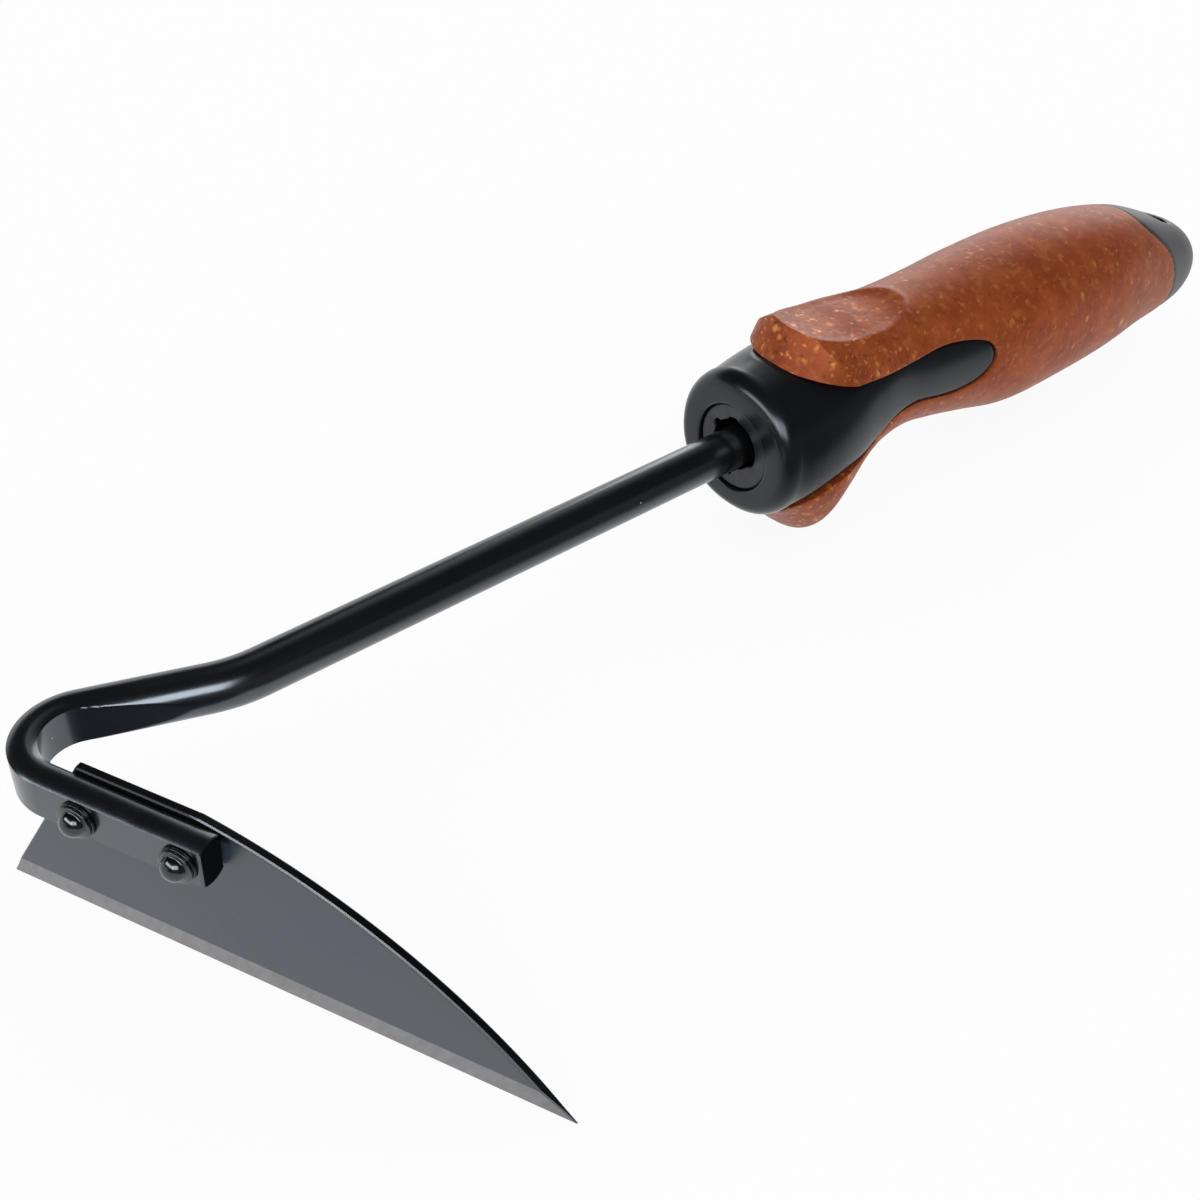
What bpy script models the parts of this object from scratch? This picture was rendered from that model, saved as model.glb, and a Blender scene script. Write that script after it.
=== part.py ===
"""Hand hoe with a sickle-shaped blade: a round steel shank bent into a hook, a riveted blade, a two-material grip.

Everything is drawn in the tool's own frame, in metres: the origin is the middle of the collar's front face,
+X runs along the shank towards the head, +Z is the side of the thumb rest, and +Y is the side that the blade
points to. The empty "resting_tool" then stands the tool on the floor, on the two ends of its cutting edge and
on the finger guard, with the origin under the middle of its extents.
"""

import math

import bmesh
import bpy
import numpy as np
from mathutils import Matrix, Vector

MM = 0.001

# Shank: one round bar, bent in the XY plane, with two flats forged on its head end
ROD_DIAMETER = 8.0 * MM
SHANK_STRAIGHT = 102.7 * MM
GOOSENECK_RADIUS = 25.0 * MM
GOOSENECK_ANGLE = math.radians(20.0)
GOOSENECK_TO_HOOK = 19.3 * MM
HOOK_RADIUS = 8.5 * MM
HOOK_ANGLE = math.radians(133.5)
STRIP_LENGTH = 28.7 * MM
FLAT_THICKNESS = 4.4 * MM
FLAT_RUNOUT = 21.0 * MM
TANG_LENGTH = 100.0 * MM

# Blade: u runs along the strip from the strip's cut end towards the tip, w is the height above the strip's middle
BLADE_THICKNESS = 1.5 * MM
BLADE_TOP = 4.1 * MM
BLADE_DROP = 29.2 * MM
HEEL_TOP_BACK = 25.1 * MM
HEEL_SLANT = 19.6 * MM
TIP_REACH = 55.3 * MM
SPINE_START_BACK = 3.8 * MM
SPINE_RADIUS = 96.5 * MM
BEVEL_WIDTH = 5.7 * MM
CUTTING_EDGE_THICKNESS = 0.25 * MM

# Fasteners: rivets with a domed head on a washer outside, and a low closed head behind the blade
RIVET_DIAMETER = 3.0 * MM
RIVET_HEAD_DIAMETER = 5.8 * MM
RIVET_RIM_HEIGHT = 0.3 * MM
RIVET_DOME_DIAMETER = 4.5 * MM
RIVET_DOME_HEIGHT = 1.8 * MM
CLOSED_HEAD_DIAMETER = 4.8 * MM
CLOSED_HEAD_HEIGHT = 0.9 * MM
FRONT_RIVET_BACK = 3.9 * MM
RIVET_SPACING = 17.4 * MM
WASHER_DIAMETER = 6.0 * MM
WASHER_THICKNESS = 0.5 * MM

# Handle: lengths run back from the collar's front face
HANDLE_LENGTH = 147.0 * MM
GRIP_WIDTH = 33.0 * MM
COLLAR_HOLE_DIAMETER = 17.7 * MM
COLLAR_LIP = 1.5 * MM
TONGUE_THICKNESS = 2.6 * MM
CORE_DIAMETER = 19.6 * MM
CORE_TAIL_DIAMETER = 14.0 * MM
CORE_SHOULDER = 24.0 * MM
CORE_MOUTH_DIAMETER = 11.0 * MM
CORE_MOUTH_DEPTH = 16.0 * MM
CORE_TAIL_WALL = 3.0 * MM
CAP_SPIGOT_DIAMETER = 13.0 * MM
CAP_SPIGOT_FRONT = 118.0 * MM
CAP_SPIGOT_LENGTH = 18.0 * MM
HANG_HOLE_LENGTH = 7.6 * MM
HANG_HOLE_WIDTH = 6.4 * MM
HANG_HOLE_BACK = 134.6 * MM
THUMB_REST_BACK = 29.0 * MM
THUMB_REST_LENGTH = 32.0 * MM
THUMB_REST_WIDTH = 15.5 * MM
THUMB_REST_DEPTH = 1.6 * MM

# Clearances
TOUCH_GAP = 0.3 * MM
RIVET_GAP = 0.2 * MM

# Mesh fineness
ROD_SIDES = 28
LOFT_SIDES = 44
LOFT_STEP = 4.5 * MM
TURNED_STEPS = 28

# The drawn handle, whose proportions the sections below follow when the length or the width is changed
DRAWN_LENGTH = 147.0
DRAWN_WIDTH = 33.0

# Sections of the speckled grip and its cap: distance back, half width, top, bottom, height of the widest line
GRIP_SECTIONS = (
    (1.5, 13.4, 13.8, -13.0, 0.0),
    (4.0, 14.6, 15.6, -14.2, 0.0),
    (7.0, 15.5, 18.0, -15.8, 0.0),
    (10.0, 16.1, 20.8, -18.8, 0.3),
    (13.0, 16.4, 21.9, -21.8, 0.7),
    (16.5, 16.4, 22.0, -23.8, 1.2),
    (20.0, 15.9, 21.7, -19.6, 1.7),
    (24.0, 15.2, 21.3, -12.8, 2.3),
    (29.0, 14.5, 21.0, -8.8, 3.0),
    (37.0, 14.2, 19.8, -7.2, 3.6),
    (47.0, 14.6, 19.1, -8.9, 3.4),
    (58.0, 15.4, 19.0, -11.6, 3.0),
    (72.0, 16.5, 19.4, -15.0, 2.4),
    (88.0, 16.5, 19.5, -15.1, 2.0),
    (105.0, 15.6, 18.1, -14.5, 1.4),
    (120.0, 13.5, 15.2, -13.5, 0.4),
    (131.0, 12.0, 11.0, -13.1, -0.8),
    (139.0, 10.3, 7.6, -12.2, -1.8),
    (144.0, 7.5, 4.2, -9.7, -2.4),
    (147.0, 2.1, -1.1, -4.2, -2.5),
)

# Sections of the soft collar and its tongues, in the same order
COLLAR_SECTIONS = (
    (0.0, 12.5, 11.6, -12.6, 0.0),
    (0.6, 13.7, 12.9, -13.1, 0.0),
    (1.8, 14.4, 14.0, -13.6, 0.0),
    (3.6, 14.9, 14.6, -14.1, 0.0),
    (8.0, 15.5, 15.0, -14.4, 0.0),
    (14.0, 15.9, 15.9, -14.4, 0.5),
    (20.0, 15.6, 16.8, -13.2, 1.5),
    (27.0, 14.7, 17.4, -9.6, 2.8),
    (36.0, 13.8, 17.4, -6.6, 3.6),
    (46.0, 14.1, 17.2, -8.2, 3.6),
    (56.0, 14.8, 17.6, -10.8, 3.0),
    (66.0, 15.6, 18.4, -13.0, 2.6),
)

# Side view of the soft collar with its tongue, as (distance back, height), from the underside round to the top
COLLAR_OUTLINE = (
    (4.6, -30.0), (4.6, -14.0), (5.2, -11.0), (7.2, -8.6), (12.0, -5.8), (17.0, -4.0), (21.5, -2.2), (26.0, 0.4),
    (30.5, 2.4), (37.0, 3.0), (44.0, 1.8), (50.0, 1.3), (55.5, 2.3), (58.8, 4.6), (59.4, 7.0), (57.4, 9.6),
    (52.0, 11.3), (45.0, 12.2), (36.0, 11.9), (28.0, 12.0), (21.0, 12.9), (16.0, 13.7), (12.8, 14.4), (11.0, 15.3),
    (11.5, 17.6), (13.4, 22.0), (17.0, 30.0),
)

# Top view of the lip in front of the thumb rest, as (distance back, distance to either side), from the middle out
LIP_OUTLINE = ((10.8, 0.0), (11.0, 3.0), (11.8, 6.0), (13.2, 9.0), (15.6, 11.6), (19.0, 13.4), (24.0, 15.0), (30.0, 19.0))

# Side view of the seam between grip and tail cap, from the top down
SEAM_OUTLINE = (
    (119.0, 30.0), (119.0, 16.0), (119.8, 13.6), (122.4, 11.0), (125.6, 8.0), (127.8, 4.4), (129.2, 0.0),
    (130.2, -5.0), (131.0, -14.0), (131.0, -30.0),
)

SUPERELLIPSE_POWER = 2.15


def material(name, colour, roughness, metallic=0.0):
    """A Principled material of one colour."""
    made = bpy.data.materials.new(name)
    made.use_nodes = True
    shader = made.node_tree.nodes["Principled BSDF"]
    shader.inputs["Base Color"].default_value = (*colour, 1.0)
    shader.inputs["Roughness"].default_value = roughness
    shader.inputs["Metallic"].default_value = metallic
    made.diffuse_color = (*colour, 1.0)
    return made


def clear_scene():
    for obj in list(bpy.data.objects):
        bpy.data.objects.remove(obj, do_unlink=True)


def collection(name):
    made = bpy.data.collections.new(name)
    bpy.context.scene.collection.children.link(made)
    return made


def place(obj, group, parent):
    group.objects.link(obj)
    obj.parent = parent
    return obj


def as_cutter(obj):
    obj.hide_render = True
    obj.display_type = "WIRE"
    return obj


def finish(obj, look):
    """Gives a mesh object its material and smooth shading with sharp edges kept."""
    obj.data.materials.clear()
    obj.data.materials.append(look)
    obj.data.shade_smooth()
    obj.data.set_sharp_from_angle(angle=math.radians(35.0))
    return obj


def boolean(obj, other, operation):
    modifier = obj.modifiers.new(f"{operation.lower()}_{other.name}", "BOOLEAN")
    modifier.operation = operation
    modifier.solver = "EXACT"
    modifier.object = other


def cut(obj, *others):
    for other in others:
        boolean(obj, other, "DIFFERENCE")


def join(obj, *others):
    for other in others:
        boolean(obj, other, "UNION")


def keep_inside(obj, *others):
    for other in others:
        boolean(obj, other, "INTERSECT")


def mesh_from_curve(obj, group, parent):
    """Turns a curve object into a welded mesh object in the same place."""
    bpy.context.view_layer.update()
    graph = bpy.context.evaluated_depsgraph_get()
    mesh = bpy.data.meshes.new_from_object(obj.evaluated_get(graph))
    data = bmesh.new()
    data.from_mesh(mesh)
    bmesh.ops.remove_doubles(data, verts=data.verts, dist=0.002 * MM)
    bmesh.ops.recalc_face_normals(data, faces=data.faces)
    data.to_mesh(mesh)
    data.free()
    name = obj.name
    matrix = obj.matrix_basis.copy()
    bpy.data.objects.remove(obj, do_unlink=True)
    made = bpy.data.objects.new(name, mesh)
    place(made, group, parent)
    made.matrix_basis = matrix
    return made


def plate(name, outline, thickness, matrix, group, parent):
    """A flat outline in its own XY plane, extruded to both sides of it."""
    curve = bpy.data.curves.new(name, "CURVE")
    curve.dimensions = "2D"
    curve.fill_mode = "BOTH"
    curve.extrude = thickness / 2
    spline = curve.splines.new("POLY")
    spline.points.add(len(outline) - 1)
    for point, (x, y) in zip(spline.points, outline):
        point.co = (x, y, 0.0, 1.0)
    spline.use_cyclic_u = True
    obj = bpy.data.objects.new(name, curve)
    obj.matrix_basis = matrix
    place(obj, group, parent)
    return mesh_from_curve(obj, group, parent)


def turned(name, profile, matrix, group, parent):
    """A ring of (radius, height) pairs turned about Z; two neighbours that are both on the axis stay unjoined."""
    mesh = bpy.data.meshes.new(name)
    points = [(radius, 0.0, height) for radius, height in profile]
    pairs = [(i, (i + 1) % len(points)) for i in range(len(points))]
    edges = [(i, j) for i, j in pairs if profile[i][0] > 0 or profile[j][0] > 0]
    mesh.from_pydata(points, edges, [])
    obj = bpy.data.objects.new(name, mesh)
    obj.matrix_basis = matrix
    place(obj, group, parent)
    screw = obj.modifiers.new("turn", "SCREW")
    screw.axis = "Z"
    screw.steps = TURNED_STEPS
    screw.render_steps = TURNED_STEPS
    screw.use_merge_vertices = True
    screw.merge_threshold = 0.01 * MM
    return obj


def cylinder(name, radius, start, end, group, parent, matrix=None, sides=TURNED_STEPS, taper=0.0):
    """A cylinder along local X from start to end; taper narrows its far end."""
    data = bmesh.new()
    bmesh.ops.create_cone(
        data, cap_ends=True, segments=sides, radius1=radius, radius2=radius - taper, depth=end - start,
        matrix=Matrix.Translation(((start + end) / 2, 0, 0)) @ Matrix.Rotation(math.pi / 2, 4, "Y"),
    )
    mesh = bpy.data.meshes.new(name)
    data.to_mesh(mesh)
    data.free()
    obj = bpy.data.objects.new(name, mesh)
    if matrix is not None:
        obj.matrix_basis = matrix
    return place(obj, group, parent)


def box(name, low, high, group, parent, matrix=None):
    data = bmesh.new()
    bmesh.ops.create_cube(data, size=1.0)
    middle = [(a + b) / 2 for a, b in zip(low, high)]
    size = [b - a for a, b in zip(low, high)]
    bmesh.ops.transform(
        data, matrix=Matrix.Translation(middle) @ Matrix.Diagonal((*size, 1.0)), verts=data.verts
    )
    mesh = bpy.data.meshes.new(name)
    data.to_mesh(mesh)
    data.free()
    obj = bpy.data.objects.new(name, mesh)
    if matrix is not None:
        obj.matrix_basis = matrix
    return place(obj, group, parent)


def arc_points(start, heading, radius, angle, count):
    """Points along an arc that turns left by a positive angle, its last point included, and the end heading."""
    side = math.copysign(1.0, angle)
    centre = Vector((start[0] - side * radius * math.sin(heading), start[1] + side * radius * math.cos(heading)))
    points = []
    for i in range(1, count + 1):
        turn = heading + angle * i / count
        points.append((centre.x + side * radius * math.sin(turn), centre.y - side * radius * math.cos(turn)))
    return points, heading + angle


class ShankPath:
    """The shank's centre line in the XY plane, with a heading at each point."""

    def __init__(self):
        self.points = [(-TANG_LENGTH, 0.0), (0.0, 0.0), (SHANK_STRAIGHT, 0.0)]
        self.headings = [0.0, 0.0, 0.0]
        heading = self.add_arc(0.0, GOOSENECK_RADIUS, -GOOSENECK_ANGLE, 6)
        self.neck_heading = heading
        self.add_straight(heading, GOOSENECK_TO_HOOK)
        self.hook_start = len(self.points) - 1
        heading = self.add_arc(heading, HOOK_RADIUS, HOOK_ANGLE, 18)
        self.hook_end = len(self.points) - 1
        self.add_straight(heading, STRIP_LENGTH)
        self.end = self.points[-1]
        self.strip_heading = heading

    def add_arc(self, heading, radius, angle, count):
        points, end_heading = arc_points(self.points[-1], heading, radius, angle, count)
        self.points += points
        self.headings += [heading + angle * (i + 1) / count for i in range(count)]
        return end_heading

    def add_straight(self, heading, length):
        x, y = self.points[-1]
        self.points.append((x + length * math.cos(heading), y + length * math.sin(heading)))
        self.headings.append(heading)

    def strip_matrix(self):
        """Local X along the strip to its cut end, local Z outwards from the hook, origin on the end's middle."""
        along = Vector((math.cos(self.strip_heading), math.sin(self.strip_heading), 0.0))
        outward = Vector((math.sin(self.strip_heading), -math.cos(self.strip_heading), 0.0))
        matrix = Matrix.Identity(4)
        matrix.col[0][:3] = along
        matrix.col[1][:3] = outward.cross(along)
        matrix.col[2][:3] = outward
        matrix.col[3][:3] = (*self.end, 0.0)
        return matrix


def flats_outline(path):
    """The band, seen from above, that the forged flats leave of the bar: wide on the round part, thin on the head."""
    clear = ROD_DIAMETER / 2 + 1.0 * MM
    half_flat = FLAT_THICKNESS / 2
    run = min(FLAT_RUNOUT, GOOSENECK_TO_HOOK)
    hook_x, hook_y = path.points[path.hook_start]
    heading = path.neck_heading
    stations = [((-TANG_LENGTH - 5 * MM, 0.0), 0.0, clear)]
    stations += [(path.points[i], path.headings[i], clear) for i in range(2, path.hook_start)]
    for share in (0.97, 0.5):
        middle = (hook_x - run * share * math.cos(heading), hook_y - run * share * math.sin(heading))
        stations.append((middle, heading, half_flat + (ROD_DIAMETER / 2 - half_flat) * share))
    for i in range(path.hook_start, path.hook_end + 1):
        stations.append((path.points[i], path.headings[i], half_flat))
    past = 2.0 * MM
    end = (path.end[0] + past * math.cos(path.strip_heading), path.end[1] + past * math.sin(path.strip_heading))
    stations.append((end, path.strip_heading, half_flat))
    left = [(p[0] - w * math.sin(h), p[1] + w * math.cos(h)) for p, h, w in stations]
    right = [(p[0] + w * math.sin(h), p[1] - w * math.cos(h)) for p, h, w in stations]
    return left + right[::-1]


def make_shank(path, parts, cutters, root, look):
    curve = bpy.data.curves.new("shank", "CURVE")
    curve.dimensions = "3D"
    curve.bevel_depth = ROD_DIAMETER / 2
    curve.bevel_resolution = ROD_SIDES // 4 - 2
    curve.use_fill_caps = True
    curve.twist_mode = "Z_UP"
    spline = curve.splines.new("POLY")
    spline.points.add(len(path.points) - 1)
    for point, (x, y) in zip(spline.points, path.points):
        point.co = (x, y, 0.0, 1.0)
    obj = bpy.data.objects.new("shank", curve)
    place(obj, parts, root)
    shank = mesh_from_curve(obj, parts, root)

    band = plate("flats_band", flats_outline(path), 3 * ROD_DIAMETER, Matrix.Identity(4), cutters, root)
    keep_inside(shank, as_cutter(band))
    return finish(shank, look)


def blade_outline():
    """The blade's outline in (u, w), from the heel's top down and round to the spine, which is an arc."""
    heel_top = (-HEEL_TOP_BACK, BLADE_TOP)
    heel_low = (-HEEL_TOP_BACK - HEEL_SLANT, -BLADE_DROP)
    tip = Vector((TIP_REACH, -BLADE_DROP))
    start = Vector((-SPINE_START_BACK, BLADE_TOP))
    chord = start - tip
    middle = (start + tip) / 2
    rise = math.sqrt(SPINE_RADIUS**2 - (chord.length / 2) ** 2)
    inward = Vector((-chord.y, chord.x)).normalized()
    centre = middle + inward * rise
    first = math.atan2(tip.y - centre.y, tip.x - centre.x)
    last = math.atan2(start.y - centre.y, start.x - centre.x)
    if last < first:
        last += 2 * math.pi
    steps = 20
    spine = [
        (centre.x + SPINE_RADIUS * math.cos(first + (last - first) * i / steps),
         centre.y + SPINE_RADIUS * math.sin(first + (last - first) * i / steps))
        for i in range(steps + 1)
    ]
    return [heel_top, heel_low] + spine


def rivet_places():
    return {"tip_side": -FRONT_RIVET_BACK, "heel_side": -FRONT_RIVET_BACK - RIVET_SPACING}


def make_blade(strip, parts, cutters, root, look):
    """The plate against the strip's inner flat, ground on its outer face along the straight edge."""
    face = -FLAT_THICKNESS / 2 - TOUCH_GAP
    middle = Matrix.Translation((0, 0, face - BLADE_THICKNESS / 2))
    blade = plate("blade", blade_outline(), BLADE_THICKNESS, strip @ middle, parts, root)
    depth = BLADE_THICKNESS - CUTTING_EDGE_THICKNESS
    slope = math.atan2(depth, BEVEL_WIDTH)
    length = TIP_REACH + HEEL_TOP_BACK + HEEL_SLANT
    hinge = Matrix.Translation((0, -BLADE_DROP + BEVEL_WIDTH, face)) @ Matrix.Rotation(slope, 4, "X")
    wedge = box(
        "bevel_cutter", (-length, -3 * BEVEL_WIDTH, 0.0), (length, 0.0, 3 * BEVEL_WIDTH), cutters, root,
        strip @ hinge,
    )
    cut(blade, as_cutter(wedge))
    return finish(blade, look)


def make_fasteners(strip, parts, cutters, root, look):
    """Rivets and the washers under their domed heads, and the cutters of the holes they pass through."""
    outer = FLAT_THICKNESS / 2
    back_face = -FLAT_THICKNESS / 2 - TOUCH_GAP - BLADE_THICKNESS
    washer_base = outer + RIVET_GAP
    washer_top = washer_base + WASHER_THICKNESS
    head_base = washer_top + RIVET_GAP
    rim_top = head_base + RIVET_RIM_HEIGHT
    closed_base = back_face - TOUCH_GAP
    shaft = RIVET_DIAMETER / 2
    hole_radius = shaft + RIVET_GAP
    head = RIVET_HEAD_DIAMETER / 2
    dome = RIVET_DOME_DIAMETER / 2
    closed = CLOSED_HEAD_DIAMETER / 2
    washer_radius = WASHER_DIAMETER / 2
    edge = 0.1 * MM
    steps = [math.radians(a) for a in range(0, 90, 15)]
    crown = [(dome * math.sin(a), rim_top + RIVET_DOME_HEIGHT * math.cos(a)) for a in steps]
    rim = [(dome, rim_top), (head - edge, rim_top), (head, rim_top - edge), (head, head_base)]
    tail = [(closed * math.cos(a), closed_base - CLOSED_HEAD_HEIGHT * math.sin(a)) for a in steps]
    profile = crown + rim + [(shaft, head_base), (shaft, closed_base)] + tail
    profile.append((0.0, closed_base - CLOSED_HEAD_HEIGHT))
    ring = [
        (hole_radius, washer_top), (washer_radius - edge, washer_top), (washer_radius, washer_top - edge),
        (washer_radius, washer_base), (hole_radius, washer_base),
    ]
    holes = []
    for side, u in rivet_places().items():
        at = strip @ Matrix.Translation((u, 0, 0))
        finish(turned(f"blade_rivet_{side}", profile, at, parts, root), look)
        finish(turned(f"washer_{side}", ring, at, parts, root), look)
        hole = cylinder(
            f"rivet_hole_{side}", hole_radius, back_face - 5 * MM, outer + 5 * MM, cutters, root,
            at @ Matrix.Rotation(-math.pi / 2, 4, "Y"),
        )
        holes.append(as_cutter(hole))
    return holes


LENGTH_SCALE = HANDLE_LENGTH / (DRAWN_LENGTH * MM)
WIDTH_SCALE = GRIP_WIDTH / (DRAWN_WIDTH * MM)


def section_at(sections, back):
    """The section's row at a distance back, on a smooth curve through the given rows."""
    table = np.array(sections)
    place_on = table[:, 0]
    slope = np.empty_like(table)
    slope[1:-1] = (table[2:] - table[:-2]) / (place_on[2:] - place_on[:-2])[:, None]
    slope[0] = (table[1] - table[0]) / (place_on[1] - place_on[0])
    slope[-1] = (table[-1] - table[-2]) / (place_on[-1] - place_on[-2])
    i = int(np.clip(np.searchsorted(place_on, back) - 1, 0, len(table) - 2))
    span = place_on[i + 1] - place_on[i]
    s = (back - place_on[i]) / span
    return (
        (2 * s**3 - 3 * s**2 + 1) * table[i] + (s**3 - 2 * s**2 + s) * span * slope[i]
        + (3 * s**2 - 2 * s**3) * table[i + 1] + (s**3 - s**2) * span * slope[i + 1]
    )


def section_ring(row, back, inset=0.0):
    """One closed ring of points: a superellipse whose upper and lower halves have their own heights."""
    _, half, top, bottom, widest = row
    angles = np.linspace(0, 2 * math.pi, LOFT_SIDES, endpoint=False)
    power = 2 / SUPERELLIPSE_POWER
    across = np.sign(np.cos(angles)) * np.abs(np.cos(angles)) ** power
    up = np.sign(np.sin(angles)) * np.abs(np.sin(angles)) ** power
    height = np.where(up > 0, top - widest, widest - bottom)
    scale = WIDTH_SCALE * MM
    y = (half * scale - inset) * across
    z = widest * scale + (height * scale - inset) * up
    x = np.full(LOFT_SIDES, -back * LENGTH_SCALE * MM)
    return np.stack([x, y, z], axis=1)


def stations(first, last, sections):
    """Distances back at which a loft is cut: the given rows, with long spans divided."""
    rows = [row[0] for row in sections if first < row[0] < last]
    marks = [first] + rows + [last]
    out = []
    for a, b in zip(marks, marks[1:]):
        parts = max(1, round((b - a) / (LOFT_STEP / MM)))
        out += [a + (b - a) * i / parts for i in range(parts)]
    return out + [last]


def loft(name, sections, first, last, group, parent, inset=0.0):
    """A closed skin through the sections between two distances back, its ends filled."""
    rings = [
        section_ring(section_at(sections, back), back, inset) for back in stations(first, last, sections)
    ]
    data = bmesh.new()
    verts = [[data.verts.new(point) for point in ring] for ring in rings]
    for near, far in zip(verts, verts[1:]):
        for i in range(LOFT_SIDES):
            j = (i + 1) % LOFT_SIDES
            data.faces.new((near[i], near[j], far[j], far[i]))
    data.faces.new(verts[0][::-1])
    data.faces.new(verts[-1])
    bmesh.ops.recalc_face_normals(data, faces=data.faces)
    mesh = bpy.data.meshes.new(name)
    data.to_mesh(mesh)
    data.free()
    return place(bpy.data.objects.new(name, mesh), group, parent)


def smooth_outline(points, steps=3):
    """More points on a smooth curve through an open run of points."""
    table = np.array(points, float)
    padded = np.vstack([2 * table[0] - table[1], table, 2 * table[-1] - table[-2]])
    out = []
    for i in range(1, len(padded) - 2):
        for s in np.arange(steps) / steps:
            before, here, after, beyond = padded[i - 1:i + 3]
            out.append(
                0.5 * (2 * here + (after - before) * s + (2 * before - 5 * here + 4 * after - beyond) * s**2
                       + (3 * here - before - 3 * after + beyond) * s**3)
            )
    out.append(table[-1])
    return [tuple(point) for point in out]


def side_prism(name, outline, margin, reach, group, parent):
    """A run of (distance back, height) closed at a far X, moved sideways by a margin, as a block across the width."""
    run = np.array(smooth_outline(outline)) * [LENGTH_SCALE * MM, WIDTH_SCALE * MM]
    step = np.gradient(run, axis=0)
    normal = np.stack([-step[:, 1], step[:, 0]], axis=1) / np.linalg.norm(step, axis=1)[:, None]
    moved = run - normal * margin
    points = [(-x, z) for x, z in moved]
    points = [(reach, points[0][1])] + points + [(reach, points[-1][1])]
    turn = Matrix.Rotation(math.pi / 2, 4, "X")
    return as_cutter(plate(name, points, 4 * GRIP_WIDTH, turn, group, parent))


def lip_cutter(group, parent):
    """A block above the collar that rounds off both corners of the lip in top view."""
    half = smooth_outline(LIP_OUTLINE)
    run = [(-back * LENGTH_SCALE * MM, side * WIDTH_SCALE * MM) for back, side in half]
    mirrored = [(x, -y) for x, y in run[:0:-1]]
    far = [(40 * MM, run[-1][1]), (40 * MM, -run[-1][1])]
    height = Matrix.Translation((0, 0, 29 * WIDTH_SCALE * MM))
    return as_cutter(plate("lip_cutter", mirrored + run + far, 32 * WIDTH_SCALE * MM, height, group, parent))


def make_handle(parts, cutters, root, looks):
    grip = loft("grip", GRIP_SECTIONS, GRIP_SECTIONS[0][0], 130.0, parts, root)
    cap = loft("tail_cap", GRIP_SECTIONS, 112.0, DRAWN_LENGTH, parts, root)
    collar = loft("soft_collar", COLLAR_SECTIONS, 0.0, COLLAR_SECTIONS[-1][0], parts, root)

    # Collar and tongues
    region = side_prism("collar_region", COLLAR_OUTLINE, 0.0, 60 * MM, cutters, root)
    keep_inside(collar, region)
    neck_front = COLLAR_LIP / (LENGTH_SCALE * MM) + 3.0
    neck = loft(
        "neck", COLLAR_SECTIONS, neck_front, 64.0, cutters, root, inset=TONGUE_THICKNESS + TOUCH_GAP,
    )
    neck_space = loft(
        "neck_space", COLLAR_SECTIONS, neck_front - TOUCH_GAP / MM, 65.0, cutters, root, inset=TONGUE_THICKNESS,
    )
    core_space = cylinder(
        "core_space", CORE_DIAMETER / 2 + TOUCH_GAP, -CORE_SHOULDER - TOUCH_GAP, -COLLAR_LIP, cutters, root,
    )
    collar_hole = cylinder("collar_hole", COLLAR_HOLE_DIAMETER / 2, -2 * COLLAR_LIP, 5 * MM, cutters, root)
    cut(collar, as_cutter(neck_space), as_cutter(core_space), as_cutter(collar_hole))
    finish(collar, looks["soft"])

    # Grip body: the speckled form without the collar's region, on a neck that the collar wraps
    behind = side_prism("behind_seam", SEAM_OUTLINE, TOUCH_GAP, -2 * HANDLE_LENGTH, cutters, root)
    ahead = side_prism("ahead_of_seam", SEAM_OUTLINE, 0.0, 0.0, cutters, root)
    grown_region = side_prism("collar_region_grown", COLLAR_OUTLINE, TOUCH_GAP, 60 * MM, cutters, root)
    tail_space = cylinder(
        "core_tail_space", CORE_TAIL_DIAMETER / 2 + TOUCH_GAP, -TANG_LENGTH - CORE_TAIL_WALL - TOUCH_GAP,
        -CORE_SHOULDER + 1 * MM, cutters, root,
    )
    spigot_front = -CAP_SPIGOT_FRONT * LENGTH_SCALE
    spigot_space = cylinder(
        "spigot_space", CAP_SPIGOT_DIAMETER / 2 + TOUCH_GAP, spigot_front - 2 * CAP_SPIGOT_LENGTH,
        spigot_front + TOUCH_GAP, cutters, root,
    )
    thumb = thumb_rest_cutter(cutters, root)
    cut(grip, grown_region, lip_cutter(cutters, root))
    join(grip, as_cutter(neck))
    cut(grip, as_cutter(tail_space), core_space, behind, as_cutter(spigot_space), thumb)
    finish(grip, looks["grip"])

    # Tail cap with its spigot and the hole it hangs by
    spigot = cylinder(
        "spigot", CAP_SPIGOT_DIAMETER / 2, spigot_front - CAP_SPIGOT_LENGTH, spigot_front, cutters, root,
        taper=0.3 * MM,
    )
    hang = hang_hole_cutter(cutters, root)
    cut(cap, ahead)
    join(cap, as_cutter(spigot))
    cut(cap, hang)
    finish(cap, looks["cap"])


def thumb_rest_cutter(cutters, root):
    """A flat ellipsoid that sinks the thumb rest's dish into the top of the grip."""
    back = THUMB_REST_BACK * LENGTH_SCALE
    row = section_at(GRIP_SECTIONS, THUMB_REST_BACK / MM)
    top = row[2] * WIDTH_SCALE * MM
    height = 3.0 * THUMB_REST_DEPTH
    spread = 1 / math.sqrt(1 - ((height - THUMB_REST_DEPTH) / height) ** 2)
    data = bmesh.new()
    bmesh.ops.create_uvsphere(data, u_segments=32, v_segments=20, radius=1.0)
    size = Matrix.Diagonal(
        (THUMB_REST_LENGTH / 2 * spread, THUMB_REST_WIDTH / 2 * spread, height, 1.0)
    )
    bmesh.ops.transform(data, matrix=size, verts=data.verts)
    mesh = bpy.data.meshes.new("thumb_rest")
    data.to_mesh(mesh)
    data.free()
    obj = bpy.data.objects.new("thumb_rest", mesh)
    obj.location = (-back, 0, top + height - THUMB_REST_DEPTH)
    return as_cutter(place(obj, cutters, root))


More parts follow.
